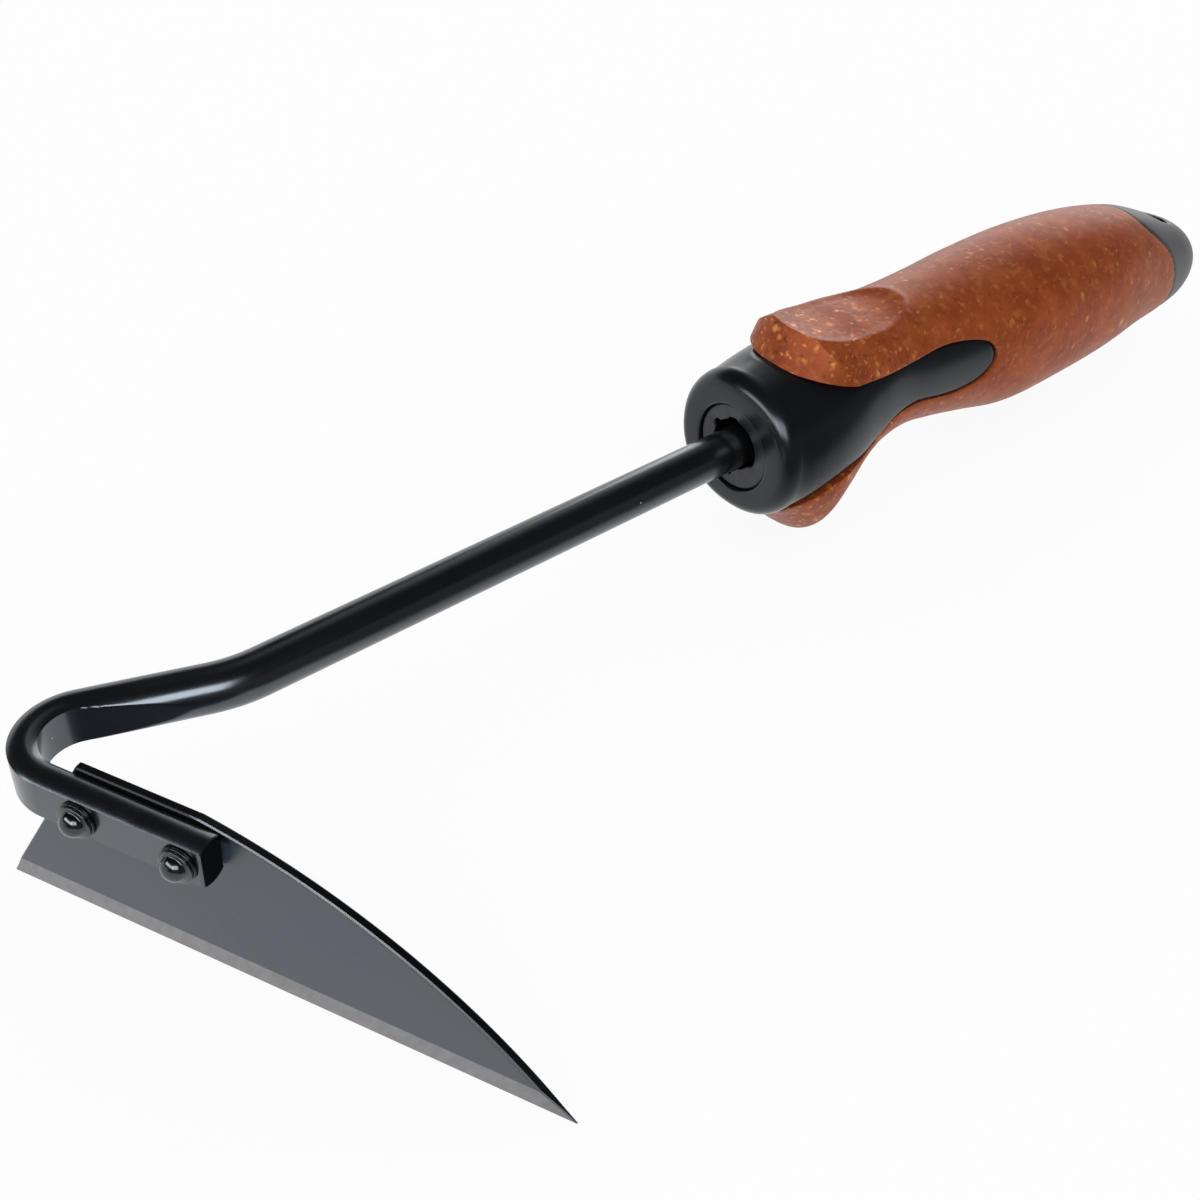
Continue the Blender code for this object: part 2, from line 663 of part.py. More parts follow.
def hang_hole_cutter(cutters, root):
    """An upright slot with round ends through the tail cap."""
    half = HANG_HOLE_WIDTH / 2
    run = max(HANG_HOLE_LENGTH - HANG_HOLE_WIDTH, 0.1 * MM) / 2
    steps = 10
    front = [
        (run + half * math.sin(math.pi * i / steps), -half * math.cos(math.pi * i / steps)) for i in range(steps + 1)
    ]
    rear = [(-x, -y) for x, y in front]
    at = Matrix.Translation((-HANG_HOLE_BACK * LENGTH_SCALE, 0, 0))
    return as_cutter(plate("hang_hole", front + rear, 80 * MM, at, cutters, root))


def make_core(parts, root, look):
    """The hard insert round the tang: a sleeve whose face and wide mouth show through the collar's hole."""
    front = -COLLAR_LIP - TOUCH_GAP
    outer = CORE_DIAMETER / 2
    tail = CORE_TAIL_DIAMETER / 2
    bore = ROD_DIAMETER / 2 + TOUCH_GAP
    end = -TANG_LENGTH - CORE_TAIL_WALL
    mouth = CORE_MOUTH_DIAMETER / 2
    floor = front - CORE_MOUTH_DEPTH
    profile = [
        (mouth, front), (outer, front), (outer, -CORE_SHOULDER), (tail, -CORE_SHOULDER), (tail, end), (0.0, end),
        (0.0, -TANG_LENGTH - TOUCH_GAP), (bore, -TANG_LENGTH - TOUCH_GAP), (bore, floor), (mouth, floor),
    ]
    lie = Matrix.Rotation(math.pi / 2, 4, "Y")
    return finish(turned("socket_core", profile, lie, parts, root), look)


def rest_matrix(path, strip):
    """Stands the tool on its cutting edge and its finger guard, with the origin under its middle."""
    near = -FLAT_THICKNESS / 2 - TOUCH_GAP
    back = near - BLADE_THICKNESS
    plate_points = [strip @ Vector((u, w, face)) for u, w in blade_outline() for face in (near, back)]
    handle_points = [
        Vector(point)
        for back_by in stations(GRIP_SECTIONS[0][0], DRAWN_LENGTH, GRIP_SECTIONS)
        for point in section_ring(section_at(GRIP_SECTIONS, back_by), back_by)
    ]
    half = FLAT_THICKNESS / 2
    crease = math.sqrt((ROD_DIAMETER / 2) ** 2 - half**2)
    bar_points = [
        Vector((x + side * half * math.sin(h), y - side * half * math.cos(h), up * crease))
        for (x, y), h in zip(path.points, path.headings) for side in (-1, 1) for up in (-1, 1)
    ]
    edge = strip @ Vector((TIP_REACH, -BLADE_DROP, back))
    along = strip.to_3x3().col[0]
    to_handle = -strip.to_3x3().col[2]
    tilt = min(math.atan2(point.z - edge.z, (point - edge).dot(to_handle)) for point in handle_points)
    level = Matrix.Rotation(-tilt, 4, along)
    stood = np.array([level @ point for point in plate_points + handle_points + bar_points])
    middle = (stood.min(axis=0) + stood.max(axis=0)) / 2
    return Matrix.Translation((-middle[0], -middle[1], -(level @ edge).z)) @ level


def main():
    clear_scene()
    parts = collection("potato_hoe")
    cutters = collection("cutters")
    cutters.hide_render = True
    root = bpy.data.objects.new("resting_tool", None)
    parts.objects.link(root)
    path = ShankPath()
    strip = path.strip_matrix()
    root.matrix_basis = rest_matrix(path, strip)

    looks = {
        "shank": material("black_enamel", (0.008, 0.008, 0.009), 0.25),
        "blade": material("blade_steel", (0.10, 0.11, 0.12), 0.35, 0.6),
        "rivet": material("rivet_black", (0.01, 0.01, 0.012), 0.25),
        "grip": material("speckled_composite", (0.30, 0.08, 0.03), 0.45),
        "soft": material("soft_black", (0.02, 0.02, 0.022), 0.55),
        "core": material("core_black", (0.012, 0.012, 0.013), 0.45),
        "cap": material("cap_grey", (0.10, 0.10, 0.105), 0.5),
    }
    shank = make_shank(path, parts, cutters, root, looks["shank"])
    blade = make_blade(strip, parts, cutters, root, looks["blade"])
    holes = make_fasteners(strip, parts, cutters, root, looks["rivet"])
    cut(shank, *holes)
    cut(blade, *holes)
    make_handle(parts, cutters, root, looks)
    make_core(parts, root, looks["core"])


main()
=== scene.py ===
"""Looks of the hand hoe: a bent enamelled bar, a riveted ground blade and a speckled grip with a soft black collar.

Shapes are worked out in the tool's own frame, in millimetres: the origin is the middle of the collar's front face,
x runs along the bar towards the blade, z is the side of the thumb rest and y the side the blade points to.
Distances "back" run from the collar's front face towards the tail. standing() puts such points on the floor.
"""

import math

import bmesh
import bpy
import numpy as np
from mathutils import Matrix, Vector


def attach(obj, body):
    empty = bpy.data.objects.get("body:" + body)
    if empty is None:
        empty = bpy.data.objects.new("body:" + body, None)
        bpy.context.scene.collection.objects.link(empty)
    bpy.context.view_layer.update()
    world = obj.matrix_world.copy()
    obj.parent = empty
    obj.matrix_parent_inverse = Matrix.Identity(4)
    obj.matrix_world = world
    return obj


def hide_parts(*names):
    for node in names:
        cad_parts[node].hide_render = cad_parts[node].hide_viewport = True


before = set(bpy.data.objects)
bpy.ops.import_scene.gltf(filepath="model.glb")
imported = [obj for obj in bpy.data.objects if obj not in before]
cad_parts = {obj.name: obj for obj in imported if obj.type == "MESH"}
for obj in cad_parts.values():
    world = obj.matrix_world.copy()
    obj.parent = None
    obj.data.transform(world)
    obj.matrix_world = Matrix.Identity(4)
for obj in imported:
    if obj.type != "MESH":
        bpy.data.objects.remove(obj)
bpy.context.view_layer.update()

MM = 0.001
NEAR = 0.002 * MM
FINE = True

# How the tool stands: turned about the blade's long direction, then shifted over the floor
STRIP_HEADING = math.radians(113.5)
RESTING_TILT = math.radians(-2.195)
RESTING_SHIFT = np.array([0.88, -31.54, 24.36])

# Bar: its radius, half its thickness where it is pressed flat, and the half thickness at which the flats have run out
# into the round, over the length of the runout
BAR_RADIUS = 4.0
BAR_FLAT = 2.2
FLAT_LIMIT = BAR_RADIUS + 0.4
FLAT_RUNOUT = 19.3
# Its straight stretches, from the tang to the strip, and its bends as radius and angle
TANG, STRAIGHT, LINK, STRIP = 100.0, 102.7, 19.3, 28.7
NECK_BEND = (25.0, math.radians(-20.0))
HOOK_BEND = (8.5, math.radians(133.5))
STRIP_END = (128.60, 29.65)
END_CHAMFER = 0.18

# Blade, in the strip's directions: u towards the tip, w up, depth outwards from the bar's middle
BLADE_FRONT = -2.5
BLADE_BACK = -4.0
BLADE_TOP = 4.1
BLADE_CHAMFER = 0.22
CUTTING_LINE = -29.2
BEVEL_TOP = CUTTING_LINE + 5.7
EDGE_THICKNESS = 0.25
SPINE_RADIUS = 96.5
SPINE_START = (-3.8, BLADE_TOP)
TIP = (55.3, CUTTING_LINE)
HEEL_TOP = -25.1
HEEL_SLANT = 19.6

# Rivets: their places along the strip, and the bore's radius, depth behind and depth in front
RIVETS = {"tip_side": -3.9, "heel_side": -21.3}
RIVET_BORE = (1.7, -12.0, 9.0)

# Handle
ROUNDNESS = 2.15
SEAM_GAP = 0.1
COLLAR_HOLE = 8.85
COLLAR_LIP = 1.5
RIM_DEPTH = 3.6
RIM_INSET = 2.7
RIM_STEP = 0.20
TONGUE_THICKNESS = 2.6
CORE_FACE = -0.75
CORE_ROOM = 10.1
CORE_ROOM_END = -24.3

# Rows of the handle's sections: distance back, half width, top, bottom, height of the widest line
GRIP_SECTIONS = np.array((
    (1.5, 13.4, 13.8, -13.0, 0.0),
    (4.0, 14.6, 15.6, -14.2, 0.0),
    (7.0, 15.5, 18.0, -15.8, 0.0),
    (10.0, 16.1, 20.8, -18.8, 0.3),
    (13.0, 16.4, 21.9, -21.8, 0.7),
    (16.5, 16.4, 22.0, -23.8, 1.2),
    (20.0, 15.9, 21.7, -19.6, 1.7),
    (24.0, 15.2, 21.3, -12.8, 2.3),
    (29.0, 14.5, 21.0, -8.8, 3.0),
    (37.0, 14.2, 19.8, -7.2, 3.6),
    (47.0, 14.6, 19.1, -8.9, 3.4),
    (58.0, 15.4, 19.0, -11.6, 3.0),
    (72.0, 16.5, 19.4, -15.0, 2.4),
    (88.0, 16.5, 19.5, -15.1, 2.0),
    (105.0, 15.6, 18.1, -14.5, 1.4),
    (120.0, 13.5, 15.2, -13.5, 0.4),
    (131.0, 12.0, 11.0, -13.1, -0.8),
    (139.0, 10.3, 7.6, -12.2, -1.8),
    (144.0, 7.5, 4.2, -9.7, -2.4),
    (147.0, 2.1, -1.1, -4.2, -2.5),
))
COLLAR_SECTIONS = np.array((
    (0.0, 14.9, 14.3, -14.0, 0.0),
    (3.6, 14.9, 14.6, -14.1, 0.0),
    (8.0, 15.5, 15.0, -14.4, 0.0),
    (14.0, 15.9, 15.9, -14.4, 0.5),
    (20.0, 15.6, 16.8, -13.2, 1.5),
    (27.0, 14.7, 17.4, -9.6, 2.8),
    (36.0, 13.8, 17.4, -6.6, 3.6),
    (46.0, 14.1, 17.2, -8.2, 3.6),
    (56.0, 14.8, 17.6, -10.8, 3.0),
    (66.0, 15.6, 18.4, -13.0, 2.6),
))

# Where the soft collar ends, in side view, from the underside round the tongue to the top
COLLAR_OUTLINE = (
    (4.6, -30.0), (4.6, -14.0), (5.2, -11.0), (7.2, -8.6), (12.0, -5.8), (17.0, -4.0), (21.5, -2.2), (26.0, 0.4),
    (30.5, 2.4), (37.0, 3.0), (44.0, 1.8), (50.0, 1.3), (55.5, 2.3), (58.8, 4.6), (59.4, 7.0), (57.4, 9.6),
    (52.0, 11.3), (45.0, 12.2), (36.0, 11.9), (28.0, 12.0), (21.0, 12.9), (16.0, 13.7), (11.8, 14.5), (9.3, 15.05),
    (8.6, 17.0), (8.4, 20.0), (8.0, 30.0),
)
# The lip in front of the thumb rest, seen from above: distance back and distance to the side
LIP_OUTLINE = ((9.0, 0.0), (9.3, 3.0), (10.3, 6.0), (12.2, 9.0), (15.2, 11.6), (19.0, 13.4), (24.0, 15.0), (30.0, 19.0))
# Two heights, and how far the lip's front stands back from its outline there
LIP_LEAN = ((12.6, -1.0), (44.0, 16.1))
# The seam between grip and tail cap, in side view
SEAM_OUTLINE = (
    (119.0, 30.0), (119.0, 16.0), (119.8, 13.6), (122.4, 11.0), (125.6, 8.0), (127.8, 4.4), (129.2, 0.0),
    (130.2, -5.0), (131.0, -14.0), (131.0, -30.0),
)
# Middle, half length and half width, and for the thumb rest its depth
THUMB_REST = (27.0, 15.4, 8.1, 1.9)
HANG_HOLE = (134.6, 3.8, 3.2)

# How bright the world is, where 1 is white, for everything but the camera and reflections
WORLD_LIGHT = 0.86


# Places and meshes

def standing(points):
    """Tool-frame millimetres turned by the resting tilt about the strip's direction, shifted, as metres."""
    axis = Vector((math.cos(STRIP_HEADING), math.sin(STRIP_HEADING), 0.0))
    turn = np.array(Matrix.Rotation(RESTING_TILT, 3, axis))
    return (np.asarray(points, float) @ turn.T + RESTING_SHIFT) * MM


def on_strip(points):
    """Points given as u along the strip, w up and depth outwards, put at the bar's cut end in the tool frame."""
    along = np.array([math.cos(STRIP_HEADING), math.sin(STRIP_HEADING), 0.0])
    outward = np.array([math.sin(STRIP_HEADING), -math.cos(STRIP_HEADING), 0.0])
    up = np.array([0.0, 0.0, 1.0])
    points = np.asarray(points, float)
    end = np.array([*STRIP_END, 0.0])
    return end + points[..., :1] * along + points[..., 1:2] * up + points[..., 2:] * outward


def strip_place(u, w, depth):
    """A place on the strip or the blade, in world metres."""
    return standing(on_strip([[u, w, depth]]))[0]


def strip_direction(u, w, depth):
    """A direction of the strip, as a unit vector in the world."""
    return (strip_place(u, w, depth) - strip_place(0, 0, 0)) / MM


def spine_centre():
    """The middle of the spine's arc, as u and w: off the middle of its chord, by the rest of the radius."""
    tip, start = np.array(TIP), np.array(SPINE_START)
    chord = start - tip
    inward = np.array([-chord[1], chord[0]]) / np.linalg.norm(chord)
    return (start + tip) / 2 + inward * math.sqrt(SPINE_RADIUS**2 - (chord @ chord) / 4)


def shown(name, data):
    """A new object in the scene."""
    made = bpy.data.objects.new(name, data)
    bpy.context.scene.collection.objects.link(made)
    return made


def linked(name, mesh, merge=True):
    """The mesh as an object, near points merged if asked, its faces turned outwards."""
    data = bmesh.new()
    data.from_mesh(mesh)
    if merge:
        bmesh.ops.remove_doubles(data, verts=data.verts, dist=NEAR)
    bmesh.ops.recalc_face_normals(data, faces=data.faces)
    data.to_mesh(mesh)
    data.free()
    return shown(name, mesh)


def mesh_object(name, points, quads):
    """An object of metre points and quads."""
    mesh = bpy.data.meshes.new(name)
    mesh.vertices.add(len(points))
    mesh.vertices.foreach_set("co", np.ascontiguousarray(points, np.float32).ravel())
    mesh.loops.add(quads.size)
    mesh.loops.foreach_set("vertex_index", quads.astype(np.int32).ravel())
    mesh.polygons.add(len(quads))
    mesh.polygons.foreach_set("loop_start", np.arange(0, quads.size, quads.shape[1], dtype=np.int32))
    mesh.update(calc_edges=True)
    return linked(name, mesh)


def solid(name, grid):
    """A closed object from a grid of points, rings by column, each ring closed; a row that is one point is merged."""
    rows, columns = grid.shape[:2]
    index = np.arange(rows * columns).reshape(rows, columns)
    beside = np.roll(index, -1, axis=1)
    quads = np.stack([index[:-1], beside[:-1], beside[1:], index[1:]], axis=-1).reshape(-1, 4)
    return mesh_object(name, grid.reshape(-1, 3), quads)


def capped(rings):
    """The same rings with a row at each end in which every point is the ring's middle."""
    ends = [np.repeat(rings[i].mean(axis=0)[None, None], rings.shape[1], axis=1) for i in (0, -1)]
    return np.concatenate([ends[0], rings, ends[1]])


def prism(name, rings):
    """Two rings of the same count joined by a wall and closed by one face at each end."""
    count = rings.shape[1]
    low = list(range(count))
    high = list(range(count, 2 * count))
    walls = [(a, (a + 1) % count, (a + 1) % count + count, a + count) for a in range(count)]
    mesh = bpy.data.meshes.new(name)
    mesh.from_pydata(rings.reshape(-1, 3).tolist(), [], [low[::-1], high] + walls)
    return linked(name, mesh, merge=False)


def turned(name, profile, place, sides=96):
    """A profile of radius and distance along an axis, turned about that axis.

    place makes tool-frame points of the distance and of the radius times the turn's cosine and sine.
    """
    profile = np.array(profile)
    around = np.linspace(0, math.tau, sides, endpoint=False)
    radius, along = profile[:, :1], np.repeat(profile[:, 1:], sides, axis=1)
    return solid(name, standing(place(along, radius * np.cos(around), radius * np.sin(around))))


def on_rivet(name, u, profile, sides=96):
    """A profile of radius and depth turned about a rivet's line."""
    return turned(name, profile, lambda depth, a, b: on_strip(np.stack([u + a, b, depth], axis=-1)), sides)


def on_axis(name, profile):
    """A profile of radius and x turned about the bar's straight stretch."""
    return turned(name, profile, lambda x, a, b: np.stack([x, a, b], axis=-1))


def bore(name, radius, first, last):
    """A round cutter about the bar's straight stretch, from one x to another."""
    return on_axis(name, [(0.0, first), (radius, first), (radius, last), (0.0, last)])


def arc(centre, radius, first, last, count):
    """Points of radius and depth along a circular or elliptic arc, angles in degrees."""
    wide, tall = (radius, radius) if np.isscalar(radius) else radius
    angle = np.radians(np.linspace(first, last, count))
    return list(zip(centre[0] + wide * np.cos(angle), centre[1] + tall * np.sin(angle)))


def smooth_run(points, steps):
    """A Catmull-Rom curve: a cubic between each two points, its slope at a point half of its neighbours' chord."""
    table = np.array(points, float)
    padded = np.vstack([2 * table[0] - table[1], table, 2 * table[-1] - table[-2]])
    s = (np.arange(steps) / steps)[None, :, None]
    before, here, after, beyond = (padded[i:len(padded) - 3 + i][:, None] for i in range(4))
    curve = 0.5 * (
        2 * here + (after - before) * s + (2 * before - 5 * here + 4 * after - beyond) * s**2
        + (3 * here - before - 3 * after + beyond) * s**3
    )
    return np.vstack([curve.reshape(-1, table.shape[1]), table[-1]])


def away_from(run, x, y):
    """Distance of each point from a polyline: the least of its distances from the segments."""
    nearest = np.full(x.shape, 1e9)
    for (ax, ay), (bx, by) in zip(run[:-1], run[1:]):
        dx, dy = bx - ax, by - ay
        share = np.clip(((x - ax) * dx + (y - ay) * dy) / max(dx * dx + dy * dy, 1e-12), 0, 1)
        nearest = np.minimum(nearest, np.hypot(x - ax - share * dx, y - ay - share * dy))
    return nearest


def falling(distance, depth, width):
    """The depth where the distance is 0, falling to 0 at the width as the square of what is left of it."""
    return depth * np.clip(1 - distance / width, 0, None) ** 2


def carve(body, *steps):
    """Applies Boolean steps, each an operation and a cutter, in order, and drops the cutters."""
    for operation, cutter in steps:
        modifier = body.modifiers.new(cutter.name, "BOOLEAN")
        modifier.operation, modifier.solver, modifier.object = operation, "EXACT", cutter
    bpy.context.view_layer.update()
    graph = bpy.context.evaluated_depsgraph_get()
    mesh = bpy.data.meshes.new_from_object(body.evaluated_get(graph))
    body.modifiers.clear()
    body.data = cleaned(mesh)
    for _, cutter in steps:
        bpy.data.objects.remove(cutter, do_unlink=True)
    return body


def cleaned(mesh):
    """The mesh with points that nearly coincide merged, and without faces of no area or flaps of two equal faces."""
    data = bmesh.new()
    data.from_mesh(mesh)
    bmesh.ops.remove_doubles(data, verts=data.verts, dist=NEAR)
    bmesh.ops.dissolve_degenerate(data, edges=data.edges, dist=NEAR)
    same = {}
    for face in data.faces:
        same.setdefault(frozenset(face.verts), []).append(face)
    flaps = [face for twins in same.values() if len(twins) > 1 for face in twins]
    bmesh.ops.delete(data, geom=flaps, context="FACES")
    data.to_mesh(mesh)
    data.free()
    return mesh


def finished(piece, look, slot, *nodes, sharp=32.0):
    """Gives a piece its material and shading, and lets it stand for its CAD nodes."""
    piece.data.materials.clear()
    piece.data.materials.append(look)
    piece.data.shade_smooth()
    piece.data.set_sharp_from_angle(angle=math.radians(sharp))
    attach(piece, "root")
    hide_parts(*nodes)
    return piece


# Bar

def bar_line(step):
    """Middle line of the bar, from tang to cut end: rows of x, y, heading and distance from the hook's start."""
    stretches = (
        (TANG, 0.0), (STRAIGHT, 0.0), (NECK_BEND[0] * abs(NECK_BEND[1]), NECK_BEND[1]), (LINK, 0.0),
        (HOOK_BEND[0] * HOOK_BEND[1], HOOK_BEND[1]), (STRIP, 0.0),
    )
    x, y, heading, travelled = -TANG, 0.0, 0.0, 0.0
    hook = sum(length for length, _ in stretches[:4])
    rows = []
    for length, turn in stretches:
        count = max(2, int(length / (step * (0.35 if turn else 1.0))))
        s = np.linspace(0, length, count, endpoint=False)
        if turn:
            rate = turn / length
            px = x + (np.sin(heading + rate * s) - math.sin(heading)) / rate
            py = y - (np.cos(heading + rate * s) - math.cos(heading)) / rate
            x += (math.sin(heading + turn) - math.sin(heading)) / rate
            y -= (math.cos(heading + turn) - math.cos(heading)) / rate
        else:
            px, py = x + s * math.cos(heading), y + s * math.sin(heading)
            x, y = x + length * math.cos(heading), y + length * math.sin(heading)
        rows.append(np.stack([px, py, heading + turn * s / length, travelled + s - hook], axis=1))
        heading += turn
        travelled += length
    rows.append(np.array([[x, y, heading, travelled - hook]]))
    return np.vstack(rows)


def make_bar(look):
    """A circle carried along the bent line, its sides cut flat towards the hook, drilled for the rivets.

    A column of points runs along each crease between flat and round, so that the crease is crisp.
    """
    line = bar_line(step=0.8)
    crease = math.acos(BAR_FLAT / BAR_RADIUS)
    corners = (-crease, crease, math.pi - crease, math.pi + crease, math.tau - crease)
    columns = (34, 22, 34, 22)
    around = np.concatenate([
        np.linspace(a, b, count, endpoint=False) for a, b, count in zip(corners, corners[1:], columns)
    ])
    x, y, heading, past = (line[:, i:i + 1] for i in range(4))
    flat = BAR_FLAT + (FLAT_LIMIT - BAR_FLAT) * np.clip(-past / FLAT_RUNOUT, 0, 1)
    side = BAR_RADIUS * np.cos(around)[None, :]
    pressed = np.sign(side) * np.minimum(np.abs(side), flat)
    height = np.repeat(BAR_RADIUS * np.sin(around)[None, :], len(line), axis=0)
    rings = np.stack([x - pressed * np.sin(heading), y + pressed * np.cos(heading), height], axis=-1)
    direction = np.array([math.cos(line[-1, 2]), math.sin(line[-1, 2]), 0.0])
    middle = rings[-1].mean(axis=0)
    cut_end = middle + (rings[-1] - middle) * 0.95
    rings[-1] = rings[-1] - direction * END_CHAMFER
    bar = solid("shank", standing(capped(np.concatenate([rings, cut_end[None]]))))
    return finished(carve(bar, *rivet_bores("bar")), look, "shank_enamel", "shank")


def rivet_bores(plate):
    """Steps that drill a plate along both rivets' lines."""
    radius, behind, ahead = RIVET_BORE
    profile = [(0.0, ahead), (radius, ahead), (radius, behind), (0.0, behind)]
    return [("DIFFERENCE", on_rivet(f"bore_{plate}_{side}", u, profile, 64)) for side, u in RIVETS.items()]


# Blade

def make_blade(look):
    """Rings round the plate, one for each height w, from the cutting edge to the top.

    A ring runs over the outer face from the heel's straight slant to the spine's arc and back over the inner face,
    with a chamfer along both. Below the bevel's top the outer face leans in to the thickness of the edge.
    """
    middle, level = spine_centre()
    first, last = (math.asin((w - level) / SPINE_RADIUS) for _, w in (TIP, SPINE_START))
    count = 90
    levels = level + SPINE_RADIUS * np.sin(np.linspace(first, last, count))
    creases = [BEVEL_TOP - 0.25, BEVEL_TOP + 0.25, BEVEL_TOP, BLADE_TOP - BLADE_CHAMFER]
    w = np.unique(np.concatenate([levels, creases, np.linspace(CUTTING_LINE, BEVEL_TOP, 10)]))
    spine = middle + np.sqrt(SPINE_RADIUS**2 - (w - level) ** 2)
    heel = HEEL_TOP - HEEL_SLANT * (BLADE_TOP - w) / (BLADE_TOP - CUTTING_LINE)
    ground = np.clip((BEVEL_TOP - w) / (BEVEL_TOP - CUTTING_LINE), 0, 1)
    front = BLADE_FRONT - ground * (BLADE_FRONT - BLADE_BACK - EDGE_THICKNESS)
    chamfer = np.minimum(BLADE_CHAMFER, (front - BLADE_BACK) * 0.3)
    spine_inset = chamfer * SPINE_RADIUS / (spine - middle)
    heel_inset = chamfer * 1.15
    top = np.clip((w - BLADE_TOP + BLADE_CHAMFER) / BLADE_CHAMFER, 0, 1) * BLADE_CHAMFER
    across = np.linspace(0, 1, count)
    u = (heel + heel_inset)[:, None] + across * (spine - spine_inset - heel - heel_inset)[:, None]

    def face(depth):
        return np.stack([u, np.repeat(w[:, None], count, 1), np.repeat(depth[:, None], count, 1)], axis=-1)

    def column(u, depth):
        return np.stack([u, w, depth], axis=-1)[:, None]

    near, far = np.maximum(front - chamfer, BLADE_BACK + chamfer), BLADE_BACK + chamfer
    rings = np.concatenate([
        face(front - top), column(spine, near), column(spine, far),
        face(BLADE_BACK + top)[:, ::-1], column(heel, far), column(heel, near),
    ], axis=1)
    closing = [rings[i].copy() for i in (0, -1)]
    for ring in closing:
        ring[:, 2] = ring[:, 2].mean()
    blade = solid("blade", standing(on_strip(np.concatenate([closing[0][None], rings, closing[1][None]]))))
    return finished(carve(blade, *rivet_bores("blade")), look, "blade_steel", "blade", sharp=20.0)


# Rivets and washers

def make_fasteners(look):
    """Profiles turned about each rivet's line: a dome on a thin rim, a washer under it, a low closed head behind."""
    dome = [(0.0, 5.2)] + arc((0.0, 3.3), (2.15, 1.9), 84, 12, 16) + arc((2.4, 3.62), 0.27, 196, 258, 5)
    rim = arc((2.75, 3.2), 0.15, 80, 0, 5) + arc((2.8, 2.95), 0.10, 0, -90, 4)
    shaft = [(1.6, 2.85), (1.5, 2.75), (1.5, -4.1), (1.6, -4.2)]
    closed_head = arc((2.25, -4.35), 0.15, 90, 0, 4) + arc((0.0, -4.35), (2.4, 0.8), 0, -84, 14)[1:] + [(0.0, -5.15)]
    ring = (
        arc((2.9, 2.72), 0.1, 90, 0, 5) + arc((2.92, 2.42), 0.12, 0, -90, 4)
        + arc((1.82, 2.42), 0.12, -90, -180, 4) + arc((1.8, 2.72), 0.1, 180, 90, 4)
    )
    for side, u in RIVETS.items():
        rivet = on_rivet(f"blade_rivet_{side}", u, dome + rim + shaft + closed_head)
        finished(rivet, look, "fastener_black", f"blade_rivet_{side}")
        washer = on_rivet(f"washer_{side}", u, ring + ring[:1])
        finished(washer, look, "fastener_black", f"washer_{side}")


# Handle

def rows_at(table, back):
    """The section rows at many distances back, on a Hermite curve with slopes from each row's neighbours."""
    at = table[:, 0]
    slope = np.empty_like(table)
    slope[1:-1] = (table[2:] - table[:-2]) / (at[2:] - at[:-2])[:, None]
    slope[0] = (table[1] - table[0]) / (at[1] - at[0])
    slope[-1] = (table[-1] - table[-2]) / (at[-1] - at[-2])
    i = np.clip(np.searchsorted(at, back) - 1, 0, len(table) - 2)
    span = (at[i + 1] - at[i])[:, None]
    s = (back[:, None] - at[i][:, None]) / span
    return (
        (2 * s**3 - 3 * s**2 + 1) * table[i] + (s**3 - 2 * s**2 + s) * span * slope[i]
        + (3 * s**2 - 2 * s**3) * table[i + 1] + (s**3 - s**2) * span * slope[i + 1]
    )


def skin(table, back, sides, inset=0.0, sunk=None, crowd=0.0):
    """Rings of a superellipse with its own heights above and below the widest line, drawn in by the inset.

    sunk is a function of the ring points that says how much further each point is drawn in, and crowd, under 1,
    says how much closer the points lie on top than below.
    """
    around = np.linspace(0, math.tau, sides, endpoint=False)
    around = around + crowd * np.cos(around)
    power = 2 / ROUNDNESS
    across = np.sign(np.cos(around)) * np.abs(np.cos(around)) ** power
    rise = np.sign(np.sin(around)) * np.abs(np.sin(around)) ** power
    _, half, top, bottom, widest = (column[:, None] for column in rows_at(table, back).T)
    inset = np.broadcast_to(np.asarray(inset, float).reshape(-1, 1), (len(back), 1))

    def rings(depth):
        height = np.where(rise > 0, top - widest, widest - bottom)
        return np.stack([
            np.repeat(-back[:, None], sides, axis=1), (half - depth) * across, widest + (height - depth) * rise,
        ], axis=-1)

    plain = rings(inset)
    return plain if sunk is None else rings(inset + sunk(plain))


def stations(first, last, step):
    """Evenly spaced distances back, about a step apart."""
    return np.linspace(first, last, max(2, round((last - first) / step) + 1))


def collar_block(name, start, end, depth):
    """The collar's sections between two distances back, drawn in by the depth."""
    return solid(name, standing(capped(skin(COLLAR_SECTIONS, stations(start, end, 2.0), 80, depth))))


def side_block(name, run, far, gap=0.0):
    """A side-view run of (back, height), moved off by the gap and closed at a far x, as a block across the handle."""
    step = np.gradient(run, axis=0)
    normal = np.stack([-step[:, 1], step[:, 0]], axis=1) / np.linalg.norm(step, axis=1)[:, None]
    moved = run - normal * gap
    ring = np.vstack([[far, moved[0, 1]], np.column_stack([-moved[:, 0], moved[:, 1]]), [far, moved[-1, 1]]])
    rings = np.stack([np.column_stack([ring[:, 0], np.full(len(ring), y), ring[:, 1]]) for y in (-60.0, 60.0)])
    return prism(name, standing(rings))


def lip_block(name):
    """The lip's outline from above, closed in front, leaning back as it rises."""
    half = smooth_run(LIP_OUTLINE, 10)
    run = np.column_stack([-half[:, 0], half[:, 1]])
    outline = np.vstack([run[:0:-1] * [1, -1], run, [[40.0, run[-1, 1]], [40.0, -run[-1, 1]]]])
    x, y = outline.T
    rings = np.stack([
        np.column_stack([x - np.where(x < 0, lean, 0), y, np.full(len(outline), height)]) for height, lean in LIP_LEAN
    ])
    return prism(name, standing(rings))


